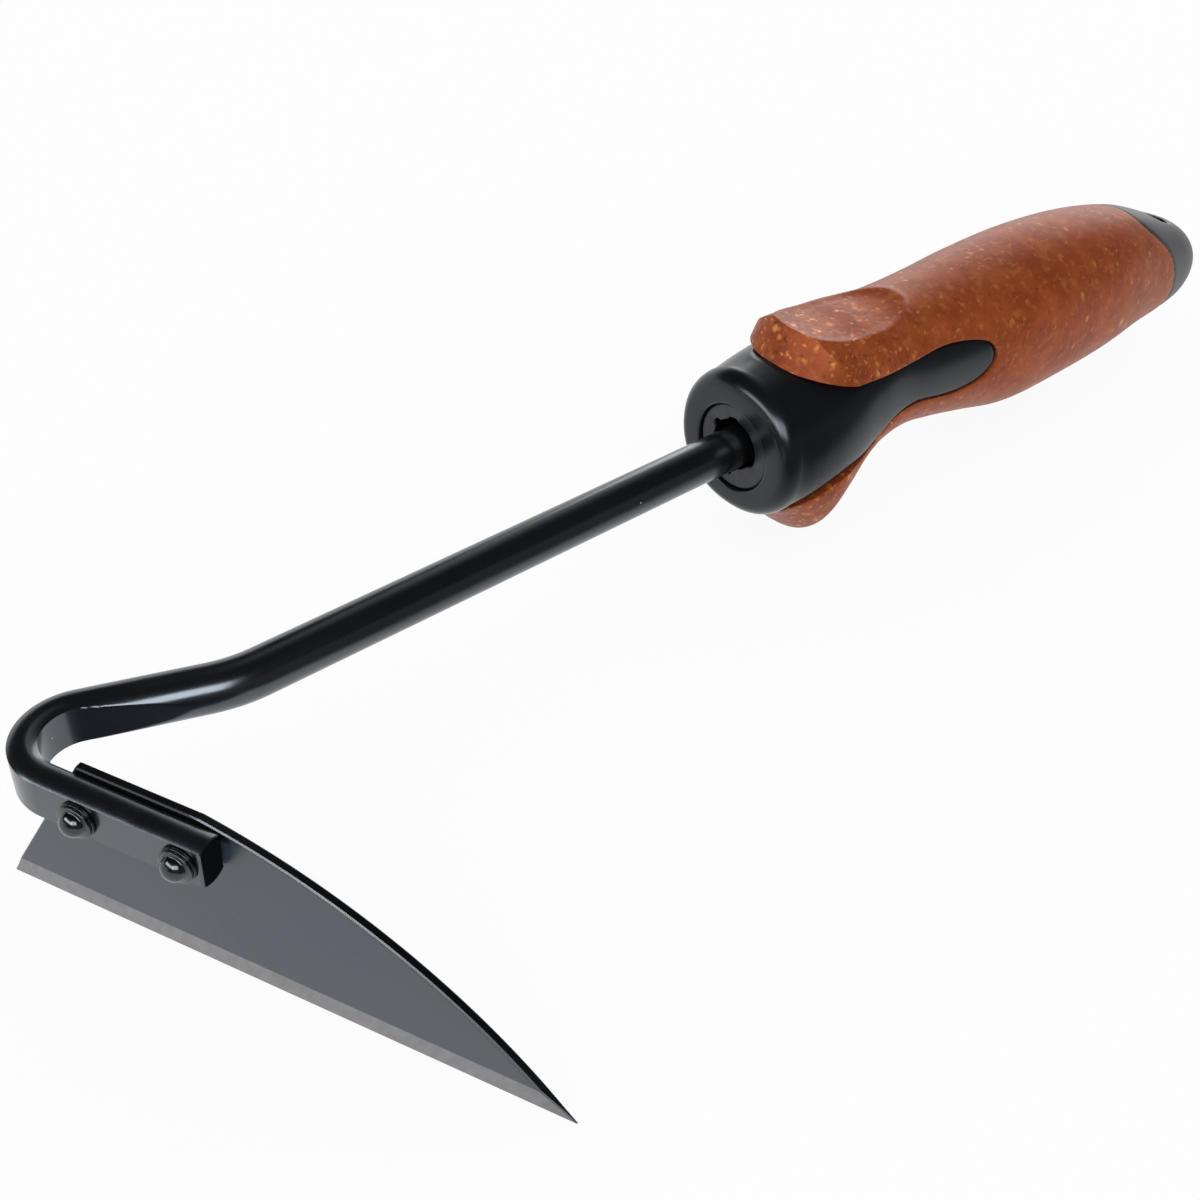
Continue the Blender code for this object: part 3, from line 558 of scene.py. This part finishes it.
def make_grip(look):
    """The speckled body: rings sunk along its edges and in the thumb rest, cut by the collar's outline and the seam.

    The thumb rest is a dish inside an oval that is squarer in front: its depth falls with the sum of the powers of
    the shares of half length and half width, and a low brim stands along the oval.
    """
    edge = smooth_run(COLLAR_OUTLINE, 8)
    seam = smooth_run(SEAM_OUTLINE, 8)
    middle, half_length, half_width, depth = THUMB_REST

    def sunk(p):
        back, height = -p[..., 0], p[..., 2]
        rolled = falling(away_from(edge, back, height), 0.30, 0.9) + falling(away_from(seam, back, height), 0.22, 0.9)
        squareness = np.where(back < middle, 3.2, 2.2)
        rho = (np.abs(back - middle) / half_length) ** squareness + (np.abs(p[..., 1]) / half_width) ** 2.2
        inside = 1 - rho
        dish = depth * 0.5 * (inside + np.sqrt(inside**2 + 0.03**2)) * np.clip(1.6 - rho, 0, 1)
        brim = 0.3 * np.exp(-((np.sqrt(rho) - 1.0) / 0.10) ** 2)
        return rolled + np.where(height > 8, dish - brim, 0)

    step, sides = (0.8, 230) if FINE else (1.6, 120)
    back = np.concatenate([stations(1.5, 8.0, step), stations(8.4, 48.0, step * 0.45), stations(48.6, 134.0, step)])
    grip = solid("grip", standing(capped(skin(GRIP_SECTIONS, back, sides, sunk=sunk, crowd=0.4))))
    return finished(
        carve(
            grip,
            ("DIFFERENCE", side_block("collar_region", edge, 60.0, SEAM_GAP)),
            ("DIFFERENCE", lip_block("lip")),
            ("UNION", collar_block("neck", COLLAR_LIP + 3.0, 64.0, TONGUE_THICKNESS + 0.3)),
            ("DIFFERENCE", bore("tang_room", 7.3, -23.0, -103.3)),
            ("DIFFERENCE", bore("core_room", CORE_ROOM, -2.0, CORE_ROOM_END)),
            ("DIFFERENCE", side_block("behind_seam", seam, -200.0, SEAM_GAP)),
            ("DIFFERENCE", bore("spigot_room", 6.8, -117.7, -160.0)),
        ),
        look, "speckled_composite", "grip",
    )


def make_collar(look):
    """The soft collar and its tongues: a rounded rim, a fine step behind it, and edges that sink where they end."""
    edge = smooth_run(COLLAR_OUTLINE, 8)
    quarter = np.linspace(0, math.pi / 2, 18 if FINE else 10)
    rim = RIM_DEPTH * (1 - np.cos(quarter))
    rim_inset = RIM_INSET * (1 - np.sin(quarter))
    step, sides = (0.5, 240) if FINE else (1.0, 120)
    fine_step = np.array([3.66, 3.72, 3.80, 3.90, 4.05, 4.3])
    fine_step_inset = [0.0, 0.0, 0.10, 0.19, RIM_STEP, RIM_STEP]
    body = stations(4.6, 64.0, step)
    back = np.concatenate([rim, fine_step, body])
    inset = np.concatenate([rim_inset, fine_step_inset, RIM_STEP * np.clip(1 - (body - 4.6) / 5, 0, 1)])

    def sunk(p):
        near_edge = away_from(edge, -p[..., 0], p[..., 2])
        under = np.clip((-2.0 - p[..., 2]) / 3.0, 0, 1) * np.clip((-p[..., 0] - 4.0) / 2.0, 0, 1)
        return falling(near_edge, 0.22, 0.8) + falling(near_edge, under * 0.7, 1.9)

    collar = solid("soft_collar", standing(capped(skin(COLLAR_SECTIONS, back, sides, inset, sunk))))
    mouth = arc((COLLAR_HOLE + 0.45, -0.45), 0.45, 180, 95, 6)[::-1]
    hole = [(0.0, 4.0), (9.6, 4.0), (9.6, 0.02)] + mouth + [(COLLAR_HOLE, -9.0), (0.0, -9.0)]
    return finished(
        carve(
            collar,
            ("INTERSECT", side_block("collar_region", edge, 60.0)),
            ("DIFFERENCE", collar_block("inner", COLLAR_LIP + 2.7, 65.0, TONGUE_THICKNESS)),
            ("DIFFERENCE", bore("core_room", CORE_ROOM, -COLLAR_LIP, CORE_ROOM_END)),
            ("DIFFERENCE", on_axis("hole", hole)),
        ),
        look, "soft_black", "soft_collar",
    )


def make_cap(look):
    """The tail cap: the grip's sections to their end, cut by the seam, with its spigot and the slot it hangs by."""
    seam = smooth_run(SEAM_OUTLINE, 8)
    middle, half_length, half_width = HANG_HOLE
    run = half_length - half_width

    def sunk(p):
        back, height = -p[..., 0], p[..., 2]
        off_hole = np.hypot(np.clip(np.abs(back - middle) - run, 0, None), p[..., 1]) - half_width
        return falling(away_from(seam, back, height), 0.22, 0.9) + falling(np.abs(off_hole), 0.5, 1.3)

    step, sides = (0.4, 220) if FINE else (0.9, 120)
    tail = 139.0 + 8.0 * np.sin(np.linspace(0, math.pi / 2, 24))
    rings = skin(GRIP_SECTIONS, np.concatenate([stations(115.0, 139.0, step)[:-1], tail]), sides, sunk=sunk)
    centre = rings[-1].mean(axis=0)
    closing = [centre + (rings[-1] - centre) * s - [0.25 * (1 - s * s), 0, 0] for s in (0.75, 0.5, 0.25)]
    cap = solid("tail_cap", standing(capped(np.concatenate([rings, closing]))))
    turn = np.linspace(-math.pi / 2, math.pi / 2, 24)
    front = np.stack([run + half_width * np.cos(turn), half_width * np.sin(turn)], axis=1)
    slot = np.vstack([front, -front])
    rings = [np.column_stack([slot[:, 0] - middle, slot[:, 1], np.full(len(slot), z)]) for z in (-40.0, 40.0)]
    return finished(
        carve(
            cap,
            ("DIFFERENCE", side_block("ahead_of_seam", seam, 0.0)),
            ("UNION", on_axis("spigot", [(0.0, -118.0), (6.2, -118.0), (6.5, -136.0), (0.0, -136.0)])),
            ("DIFFERENCE", prism("slot", standing(np.stack(rings)))),
        ),
        look, "cap_grey", "tail_cap",
    )


def make_core(look):
    """The hard insert: a sleeve whose mouth round the bar is drawn in by a lug and let out by notches."""
    sides = 180
    around = np.linspace(0, math.tau, sides, endpoint=False)

    def swell(middle, half):
        off = (around - math.radians(middle) + math.pi) % math.tau - math.pi
        return 1 / (1 + (off / math.radians(half)) ** 8)

    mouth = 5.5 - 0.95 * swell(-52, 27) + 1.1 * swell(-98, 8) + 0.9 * swell(148, 9) + 0.5 * swell(98, 12)
    tang, sleeve, boss, flange = 4.3, 7.0, 8.68, 9.8
    face, shoulder, floor, flange_end, tang_end, end = CORE_FACE, -1.75, -17.8, -24.0, -100.3, -103.0
    profile = [
        (0.0, tang_end), (tang, tang_end), (tang, floor), (mouth, floor), (mouth, face - 0.35),
        (mouth + 0.1, face - 0.1), (mouth + 0.35, face), (8.35, face), (boss, face - 0.22), (boss, shoulder),
        (flange - 0.1, shoulder), (flange, shoulder - 0.1), (flange, flange_end), (sleeve, flange_end),
        (sleeve, end + 0.4), (sleeve - 0.4, end), (0.0, end),
    ]
    rings = np.array([
        np.stack([np.full(sides, x), radius * np.cos(around), radius * np.sin(around)], axis=-1)
        for radius, x in profile
    ])
    return finished(solid("socket_core", standing(rings)), look, "core_black", "socket_core")


# Materials

class Wire:
    """One output of a node. Arithmetic on it adds Math nodes."""

    def __init__(self, nodes, socket):
        self.nodes, self.socket = nodes, socket

    def math(self, operation, *others, swap=False):
        values = (*others, self) if swap else (self, *others)
        return self.nodes.node("ShaderNodeMath", {"operation": operation}, dict(enumerate(values)))

    def __add__(self, other):
        return self.math("ADD", other)

    def __radd__(self, other):
        return self.math("ADD", other, swap=True)

    def __sub__(self, other):
        return self.math("SUBTRACT", other)

    def __rsub__(self, other):
        return self.math("SUBTRACT", other, swap=True)

    def __mul__(self, other):
        return self.math("MULTIPLY", other)

    def __rmul__(self, other):
        return self.math("MULTIPLY", other, swap=True)

    def __pow__(self, other):
        return self.math("POWER", other)

    def __gt__(self, other):
        return self.math("GREATER_THAN", other)

    def __lt__(self, other):
        return self.math("LESS_THAN", other)

    def most(self, other):
        """The larger of two values."""
        return self.math("MAXIMUM", other)

    def least(self, other):
        """The smaller of two values."""
        return self.math("MINIMUM", other)

    def size(self):
        return self.math("ABSOLUTE")

    def between(self, low, high):
        """0 below low, 1 above high, smooth between."""
        return self.nodes.node(
            "ShaderNodeMapRange", {"interpolation_type": "SMOOTHSTEP"},
            {"Value": self, "From Min": low, "From Max": high}, "Result",
        )


class Nodes:
    """A node tree, and one way to add any node to it."""

    def __init__(self, tree, coordinates):
        self.tree = tree
        self.where = self.node("ShaderNodeTexCoord", {}, {}, coordinates)

    def node(self, kind, settings, values, output=0):
        """A node of a kind: its settings, then the values or wires of its sockets; returns one output."""
        made = self.tree.nodes.new(kind)
        for key, value in settings.items():
            setattr(made, key, value)
        for key, value in values.items():
            self.feed(made.inputs[key], value)
        return Wire(self, made.outputs[output])

    def feed(self, socket, value):
        """Links a wire to a socket, or sets its value: a lone number fills a vector, a colour gets its alpha."""
        if isinstance(value, Wire):
            self.tree.links.new(value.socket, socket)
        elif hasattr(socket.default_value, "__len__") and not hasattr(value, "__len__"):
            socket.default_value = [value] * len(socket.default_value)
        elif hasattr(socket.default_value, "__len__") and len(value) < len(socket.default_value):
            socket.default_value = (*value, 1.0)
        else:
            socket.default_value = value

    def axis(self, letter):
        """One coordinate of the place."""
        return self.node("ShaderNodeSeparateXYZ", {}, {0: self.where}, letter)

    def mix(self, share, a, b):
        """Colour a where the share is 0, colour b where it is 1."""
        return self.node("ShaderNodeMix", {"data_type": "RGBA"}, {0: share, 6: a, 7: b}, 2)

    def ray(self, kind):
        """1 where a ray of this kind is looking, 0 for others."""
        return self.node("ShaderNodeLightPath", {}, {}, f"Is {kind} Ray")

    def seen(self):
        """1 where the camera looks, directly or through glass."""
        return self.ray("Camera").most(self.ray("Transmission"))


class Look(Nodes):
    """A material with a Principled shader, worked on the piece's own coordinates."""

    def __init__(self, name, **constants):
        self.material = bpy.data.materials.new(name)
        self.material.use_nodes = True
        super().__init__(self.material.node_tree, "Object")
        self.shader = self.tree.nodes["Principled BSDF"]
        self.finish(**constants)

    def placed(self, turn=(0, 0, 0), stretch=(1, 1, 1), shift=(0, 0, 0)):
        """Object coordinates turned, stretched and shifted."""
        return self.node(
            "ShaderNodeMapping", {}, {"Vector": self.where, "Rotation": turn, "Scale": stretch, "Location": shift},
        )

    def noise(self, size, detail, roughness=0.5, vector=None, output=0):
        """Noise whose features are about the given size in millimetres."""
        return self.node(
            "ShaderNodeTexNoise", {},
            {"Vector": vector or self.where, "Scale": 1 / (size * MM), "Detail": detail, "Roughness": roughness},
            output,
        )

    def cells(self, size, vector=None, output="Distance"):
        """Cells of about the given size in millimetres: the distance from the nearest middle, or its colour."""
        return self.node(
            "ShaderNodeTexVoronoi", {"feature": "F1"}, {"Vector": vector or self.where, "Scale": 1 / (size * MM)},
            output,
        )

    def arrow(self, operation, a, b=(0, 0, 0), output="Value"):
        """Vector maths on two vectors."""
        return self.node("ShaderNodeVectorMath", {"operation": operation}, {0: a, 1: b}, output)

    def facing(self, direction):
        """The cosine of the angle between the surface's outward direction and another."""
        normal = self.node("ShaderNodeNewGeometry", {}, {}, "Normal")
        return self.arrow("DOT_PRODUCT", normal, tuple(direction))

    def distance_off_line(self, point, direction):
        """Distance from the line through a point in a direction: the root of length squared less the part along it."""
        off = self.arrow("SUBTRACT", self.where, tuple(point), "Vector")
        length = self.arrow("LENGTH", off)
        part = self.arrow("DOT_PRODUCT", off, tuple(direction))
        return (length * length - part * part) ** 0.5

    def bump(self, height, depth, strength=0.5):
        """Bump of a height wire whose full range stands for the given depth in millimetres."""
        return self.node(
            "ShaderNodeBump", {}, {"Height": height, "Distance": depth * MM, "Strength": strength}, "Normal",
        )

    def finish(self, **inputs):
        """Feeds the shader's inputs, an underscore standing for a space, and returns the material."""
        for key, value in inputs.items():
            self.feed(self.shader.inputs[key.replace("_", " ")], value)
        return self.material


def enamel():
    """Gloss black enamel on the bar: orange peel, dust nibs, and a rougher cut end where the strip was sheared, made
    unreflecting as painted shade.
    """
    look = Look("black_enamel", IOR=1.95, Specular_Tint=(0.76, 0.88, 1.0))
    black, thin_black, dust = (0.0030, 0.0031, 0.0036), (0.0062, 0.0066, 0.0078), (0.35, 0.36, 0.38)
    peel = look.noise(2.2, 1.0)
    grain = look.noise(0.35, 2.0)
    nibs = 1 - look.cells(6.0).between(0.016, 0.034)
    # Past this place across the floor, only the strip's cut end faces along the strip
    past_hook = look.axis("Y") > strip_place(-1.5, 0, 0)[1]
    # Painted shade: the cut end turns metal on the black base, so it gives back almost no light; it is also rougher
    cut_end = look.facing(strip_direction(1, 0, 0)).between(0.93, 0.985) * past_hook
    return look.finish(
        Base_Color=look.mix(nibs, look.mix(look.noise(12.0, 2.0), black, thin_black), dust),
        Roughness=0.15 + look.noise(5.0, 3.0) * 0.12 + cut_end * 0.25, Metallic=cut_end,
        Normal=look.bump(peel * 0.6 + grain * 0.12 + nibs * 1.2, 0.03),
    )


def level_of(w):
    """The height in the world, in metres, of a line w on the blade's outer face."""
    return strip_place(0, w, BLADE_FRONT)[2]


def blade_lacquer():
    """Blue-grey satin lacquer on the plate, a smooth ground band on the bevel, and painted shade: black along the
    spine's wall, the plate's other walls and behind the strip.
    """
    look = Look("blade_lacquer", IOR=1.6)
    # Painted shade in the first two colours, near black for the walls and black for the band along the spine and behind
    # the strip; the third is real specks in the paint
    painted_shade_wall, painted_shade_black, speck_paint = (0.018, 0.021, 0.028), (0.004, 0.0045, 0.006), (0.012, 0.012, 0.015)
    up = look.axis("Z")
    along, outwards = strip_direction(1, 0, 0), strip_direction(0, 0, 1)
    towards = look.facing(outwards)
    outer_face = towards > 0.5
    # Painted shade on the walls, which face neither out nor in: near black, and made metal further down
    side = 1 - towards.size().between(0.5, 0.75)
    bare = (1 - up.between(level_of(BEVEL_TOP - 0.12), level_of(BEVEL_TOP + 0.12))) * towards.between(0.75, 0.9)

    # Paint with faint streaks and clouds, and steel with grinding marks and stains
    streak = look.noise(1.0, 3.0, vector=look.placed(turn=(0, 0, -STRIP_HEADING), stretch=(0.12, 1, 1.5)))
    grind = look.noise(0.5, 3.0, 0.6, vector=look.placed(turn=(0, 0.12, -STRIP_HEADING), stretch=(1, 0.05, 0.10)))
    paint = look.mix(streak.between(0.3, 0.75), (0.024, 0.037, 0.060), (0.034, 0.049, 0.073))
    paint = look.mix(look.noise(18.0, 1.0).between(0.35, 0.65), paint, (0.031, 0.044, 0.065))
    steel = look.mix(grind.between(0.3, 0.7), (0.165, 0.167, 0.177), (0.212, 0.213, 0.222))
    steel = look.mix(look.noise(14.0, 2.0).between(0.52, 0.72) * 0.6, steel, (0.155, 0.145, 0.140))
    face = look.mix(bare, paint, steel)
    face = look.mix((1 - look.cells(4.0).between(0.02, 0.035)) * 0.7, face, speck_paint)

    # Painted shade in a dark band along the spine, a painted highlight in a thin line of light near its edge, and
    # painted shade in black behind the strip
    from_spine = look.distance_off_line(strip_place(*spine_centre(), 0), outwards)
    rim = SPINE_RADIUS * MM
    # Painted shade: a black band on the outer face just inside the spine's edge
    rim_painted_shade = from_spine.between(rim - 0.66 * MM, rim - 0.5 * MM) * outer_face
    caught_light = from_spine.between(rim - 0.32 * MM, rim - 0.2 * MM) * outer_face
    strip_end = strip_place(0.8, 0, BLADE_FRONT) @ along
    before_end = 1 - look.arrow("DOT_PRODUCT", look.where, tuple(along)).between(strip_end, strip_end + 0.8 * MM)
    # Painted shade: black on the outer face behind the strip, from partway up it to the strip's end, where the strip
    # shades the plate
    behind = before_end * up.between(level_of(1.2), level_of(2.2))
    face = look.mix((behind + rim_painted_shade * (1 - bare)).least(1.0), face, painted_shade_black)
    face = look.mix(caught_light, face, (0.11, 0.115, 0.13))
    # Painted shade, further: the walls and, in part, the face behind the strip turn metal on their dark colour
    painted_shade_metal = (side + behind * 0.6).least(1.0)
    return look.finish(
        Base_Color=look.mix(side, face, painted_shade_wall), Metallic=(bare * 0.75).most(painted_shade_metal * 0.85),
        Roughness=0.34 + bare * 0.06 + streak * 0.06 - side * 0.1,
        Normal=look.bump(grind * bare * 0.6 + look.noise(0.5, 2.0) * 0.15, 0.02),
    )


def speckled_composite():
    """Copper-brown composite with a metal sheen: a clouded base, then chips, flakes and fibres, thicker in front."""
    look = Look("speckled_composite", IOR=1.26)
    front = look.axis("X").between(-0.055, -0.008)
    base = look.mix(look.noise(6.0, 4.0, 0.6).between(0.3, 0.7), (0.260, 0.044, 0.006), (0.350, 0.073, 0.014))
    base = look.mix(look.noise(1.8, 3.0).between(0.50, 0.70) * 0.7, base, (0.40, 0.110, 0.028))
    base = look.mix(look.noise(1.1, 2.0).between(0.58, 0.72) * (0.35 + 0.35 * front), base, (0.085, 0.016, 0.003))
    warp = look.noise(0.9, 2.0, output="Color")
    # Each layer: size of its cells, stretch, share of cells left empty, how much less in front, where a fleck fades
    layers = (
        (6.5, (1.0, 1.5, 1.1), 0.80, 0.10, 0.04, 0.26), (4.4, (1.5, 1.0, 1.2), 0.80, 0.16, 0.05, 0.30),
        (4.6, (0.6, 2.6, 2.0), 0.84, 0.14, 0.04, 0.20), (3.0, (1.2, 1.6, 1.0), 0.86, 0.30, 0.06, 0.34),
        (1.5, (1.3, 1.0, 1.4), 0.90, 0.42, 0.06, 0.40),
    )
    flecks = None
    for i, (size, stretch, empty, less, full, none) in enumerate(layers):
        turn, shift = (0.7 * i + 0.3, 1.1 * i + 0.2, 0.5 * i), (0.03 * i, 0.05, 0.01)
        bent = look.node(
            "ShaderNodeVectorMath", {"operation": "MULTIPLY_ADD"},
            {0: warp, 1: (0.0016,) * 3, 2: look.placed(turn, stretch, shift)},
        )
        random = look.node("ShaderNodeSeparateColor", {}, {0: look.cells(size, bent, "Color")}, "Red")
        fleck = (random > empty - less * front) * (1 - look.cells(size, bent).between(full, none))
        flecks = flecks.most(fleck) if flecks else fleck
    tint = look.mix(look.noise(2.4, 1.0).between(0.4, 0.62), (0.56, 0.155, 0.035), (0.76, 0.30, 0.08))
    return look.finish(
        Base_Color=look.mix(flecks * (0.5 + 0.4 * front), base, tint), Roughness=0.43 - flecks * 0.10,
        Metallic=0.16 + flecks * 0.1, Normal=look.bump(look.noise(0.3, 2.0) * 0.5 + flecks * 0.25, 0.02),
    )


def soft_black():
    """Satin rubber: nearly black, with a spark-eroded grain and slight polish marks."""
    look = Look("soft_black", IOR=1.46, Specular_Tint=(0.80, 0.90, 1.0))
    grain = look.noise(0.3, 3.0, 0.6)
    worn = look.noise(9.0, 2.0)
    colour = look.mix(worn.between(0.3, 0.7), (0.0040, 0.0044, 0.0060), (0.0070, 0.0076, 0.0100))
    return look.finish(Base_Color=colour, Roughness=0.20 + worn * 0.06, Normal=look.bump(grain, 0.015))


def rivet_black():
    """Blackened steel, glossy, with a little unevenness."""
    look = Look("rivet_black", IOR=1.7, Specular_Tint=(0.80, 0.90, 1.0))
    uneven = look.noise(1.6, 2.0)
    colour = look.mix(uneven.between(0.35, 0.65), (0.0025, 0.0025, 0.003), (0.006, 0.006, 0.007))
    return look.finish(Base_Color=colour, Roughness=0.10 + uneven * 0.10, Normal=look.bump(uneven, 0.03))


def cap_grey():
    """Hard grey-black plastic with a satin grain."""
    look = Look("cap_grey", IOR=1.5)
    grain = look.noise(0.35, 3.0, 0.6)
    colour = look.mix(look.noise(8.0, 2.0), (0.026, 0.028, 0.031), (0.042, 0.044, 0.047))
    return look.finish(Base_Color=colour, Roughness=0.4 + grain * 0.08, Normal=look.bump(grain, 0.02, 0.6))


def core_black():
    """Moulded plastic, satin grey-black on the face round the bar, with painted shade that makes it dead black down in
    the mouth.
    """
    look = Look("core_black", IOR=1.45)
    grain = look.noise(0.5, 2.0)
    face = standing([[CORE_FACE, 0, 0]])[0, 0]
    # Painted shade: deeper than the face, the mouth turns dead black, rougher and metal on its black base
    painted_shade_deep = 1 - look.axis("X").between(face - 0.9 * MM, face - 0.3 * MM)
    colour = look.mix(grain, (0.012, 0.013, 0.016), (0.020, 0.022, 0.026))
    return look.finish(
        Base_Color=look.mix(painted_shade_deep, colour, (0.0015, 0.0015, 0.0016)), Metallic=painted_shade_deep,
        Roughness=0.28 + grain * 0.1 + painted_shade_deep * 0.3, Normal=look.bump(grain, 0.03),
    )


# Studio

def make_floor():
    """A white floor that keeps the tool's shadow; in reflections it darkens towards the camera's side of the tool.

    It starts to darken at a line along the bar that bends towards that side beyond the neck and under the handle.
    """
    sides = 96
    ring = np.linspace(0, math.tau, sides, endpoint=False)
    rows = np.array([0.0, 0.4, 1.2, 4.0])[:, None]
    points = np.stack([rows * np.cos(ring), rows * np.sin(ring), np.full((len(rows), sides), -0.0003)], axis=-1)
    index = np.arange(len(rows) * sides).reshape(len(rows), sides)
    beside = np.roll(index, -1, axis=1)
    quads = np.stack([index[:-1], index[1:], beside[1:], beside[:-1]], axis=-1).reshape(-1, 4)
    floor = mesh_object("floor", points.reshape(-1, 3), quads)
    look = Look("floor_white")
    white = (1.0, 1.0, 1.0)
    x, y = look.axis("X"), look.axis("Y")
    neck_bend, handle_bend = (x - 0.061).most(0.0) * 1.2, (-0.02 - x).most(0.0) * 0.8
    aside = y + 0.0315 - neck_bend - handle_bend
    mirrored = 1 - aside.between(0.0, 0.08) * 0.88
    paint = look.mix(look.noise(40.0, 2.0), (0.92, 0.92, 0.92), (0.94, 0.94, 0.94))
    matt = look.node("ShaderNodeBsdfDiffuse", {}, {"Color": paint})
    lit = look.node("ShaderNodeEmission", {}, {"Color": white, "Strength": 1.0})
    reflected = look.node("ShaderNodeEmission", {}, {"Color": white, "Strength": mirrored})
    seen = look.node("ShaderNodeMixShader", {}, {0: look.seen() * 0.93, 1: matt, 2: lit})
    both = look.node("ShaderNodeMixShader", {}, {0: look.ray("Glossy"), 1: seen, 2: reflected})
    look.tree.links.new(both.socket, look.tree.nodes["Material Output"].inputs["Surface"])
    look.tree.nodes.remove(look.shader)
    floor.data.materials.append(look.material)


def make_world():
    """White to the camera; in reflections white low down behind the tool and dark above and behind the camera.

    Behind the tool, on the handle's side, the white reaches high up, as the power of how far back it lies.
    """
    world = bpy.data.worlds.new("studio")
    bpy.context.scene.world = world
    world.use_nodes = True
    look = Nodes(world.node_tree, "Generated")
    white, dark = (1.0, 1.0, 1.0), (0.015, 0.015, 0.017)
    x, y, z = (look.axis(letter) for letter in "XYZ")
    raised = z.between(math.sin(math.radians(10)), math.sin(math.radians(24)))
    low = 1 - raised.most(y.between(-0.2, 0.3) * 0.88)
    high = (x * -0.866 + y * 0.5).between(0.0, 0.12) * (y * -1.25 - 0.025).most(0.0) ** 1.8
    plain = look.mix(look.ray("Glossy"), (WORLD_LIGHT,) * 3, look.mix(low.most(high), dark, white))
    background = world.node_tree.nodes["Background"]
    look.feed(background.inputs["Color"], look.mix(look.seen(), plain, white))
    background.inputs["Strength"].default_value = 1.0


def softbox(name, azimuth, elevation, distance, size, radiance):
    """A rectangular lamp that shows in gloss only, at an azimuth from +x, facing the tool, its face so bright."""
    lamp = bpy.data.lights.new(name, "AREA")
    lamp.shape = "RECTANGLE"
    lamp.size, lamp.size_y = size
    lamp.energy = radiance * math.pi * size[0] * size[1]
    made = shown(name, lamp)
    a, e = math.radians(azimuth), math.radians(elevation)
    towards = Vector((math.cos(a) * math.cos(e), math.sin(a) * math.cos(e), math.sin(e)))
    tool_middle = Vector((0.0, 0.0, 0.02))
    made.location = tool_middle + towards * distance
    made.rotation_euler = towards.to_track_quat("Z", "Y").to_euler()
    made.visible_diffuse = False


def make_camera():
    """The photograph's camera, found from the tool's own outline: place, direction and focal length."""
    place = np.array([190.386, 172.605, 170.588])
    right = np.array([-0.75780, 0.65118, 0.04138])
    down = np.array([0.38897, 0.50175, -0.77262])
    ahead = np.array([-0.52388, -0.56939, -0.63352])
    origin = standing([[0, 0, 0]])[0]
    data = bpy.data.cameras.new("camera")
    data.lens, data.sensor_width, data.clip_start = 48.35, 36.0, 0.01
    camera = shown("camera", data)
    matrix = Matrix.Identity(4)
    for i, direction in enumerate((right, -down, -ahead)):
        matrix.col[i][:3] = (standing([direction])[0] - origin) / MM
    matrix.col[3][:3] = standing([place])[0]
    camera.matrix_world = matrix
    bpy.context.scene.camera = camera


make_bar(enamel())
make_blade(blade_lacquer())
make_fasteners(rivet_black())
make_grip(speckled_composite())
make_collar(soft_black())
make_cap(cap_grey())
make_core(core_black())
make_floor()
make_world()
softbox("key_softbox", 0.0, 39.0, 1.2, (1.5, 0.35), 7.0)
softbox("side_softbox", 54.0, 39.0, 0.9, (0.66, 0.42), 6.5)
softbox("back_softbox", -145.0, 14.0, 1.3, (0.95, 0.65), 2.0)
make_camera()
bpy.context.scene.view_settings.view_transform = "Standard"
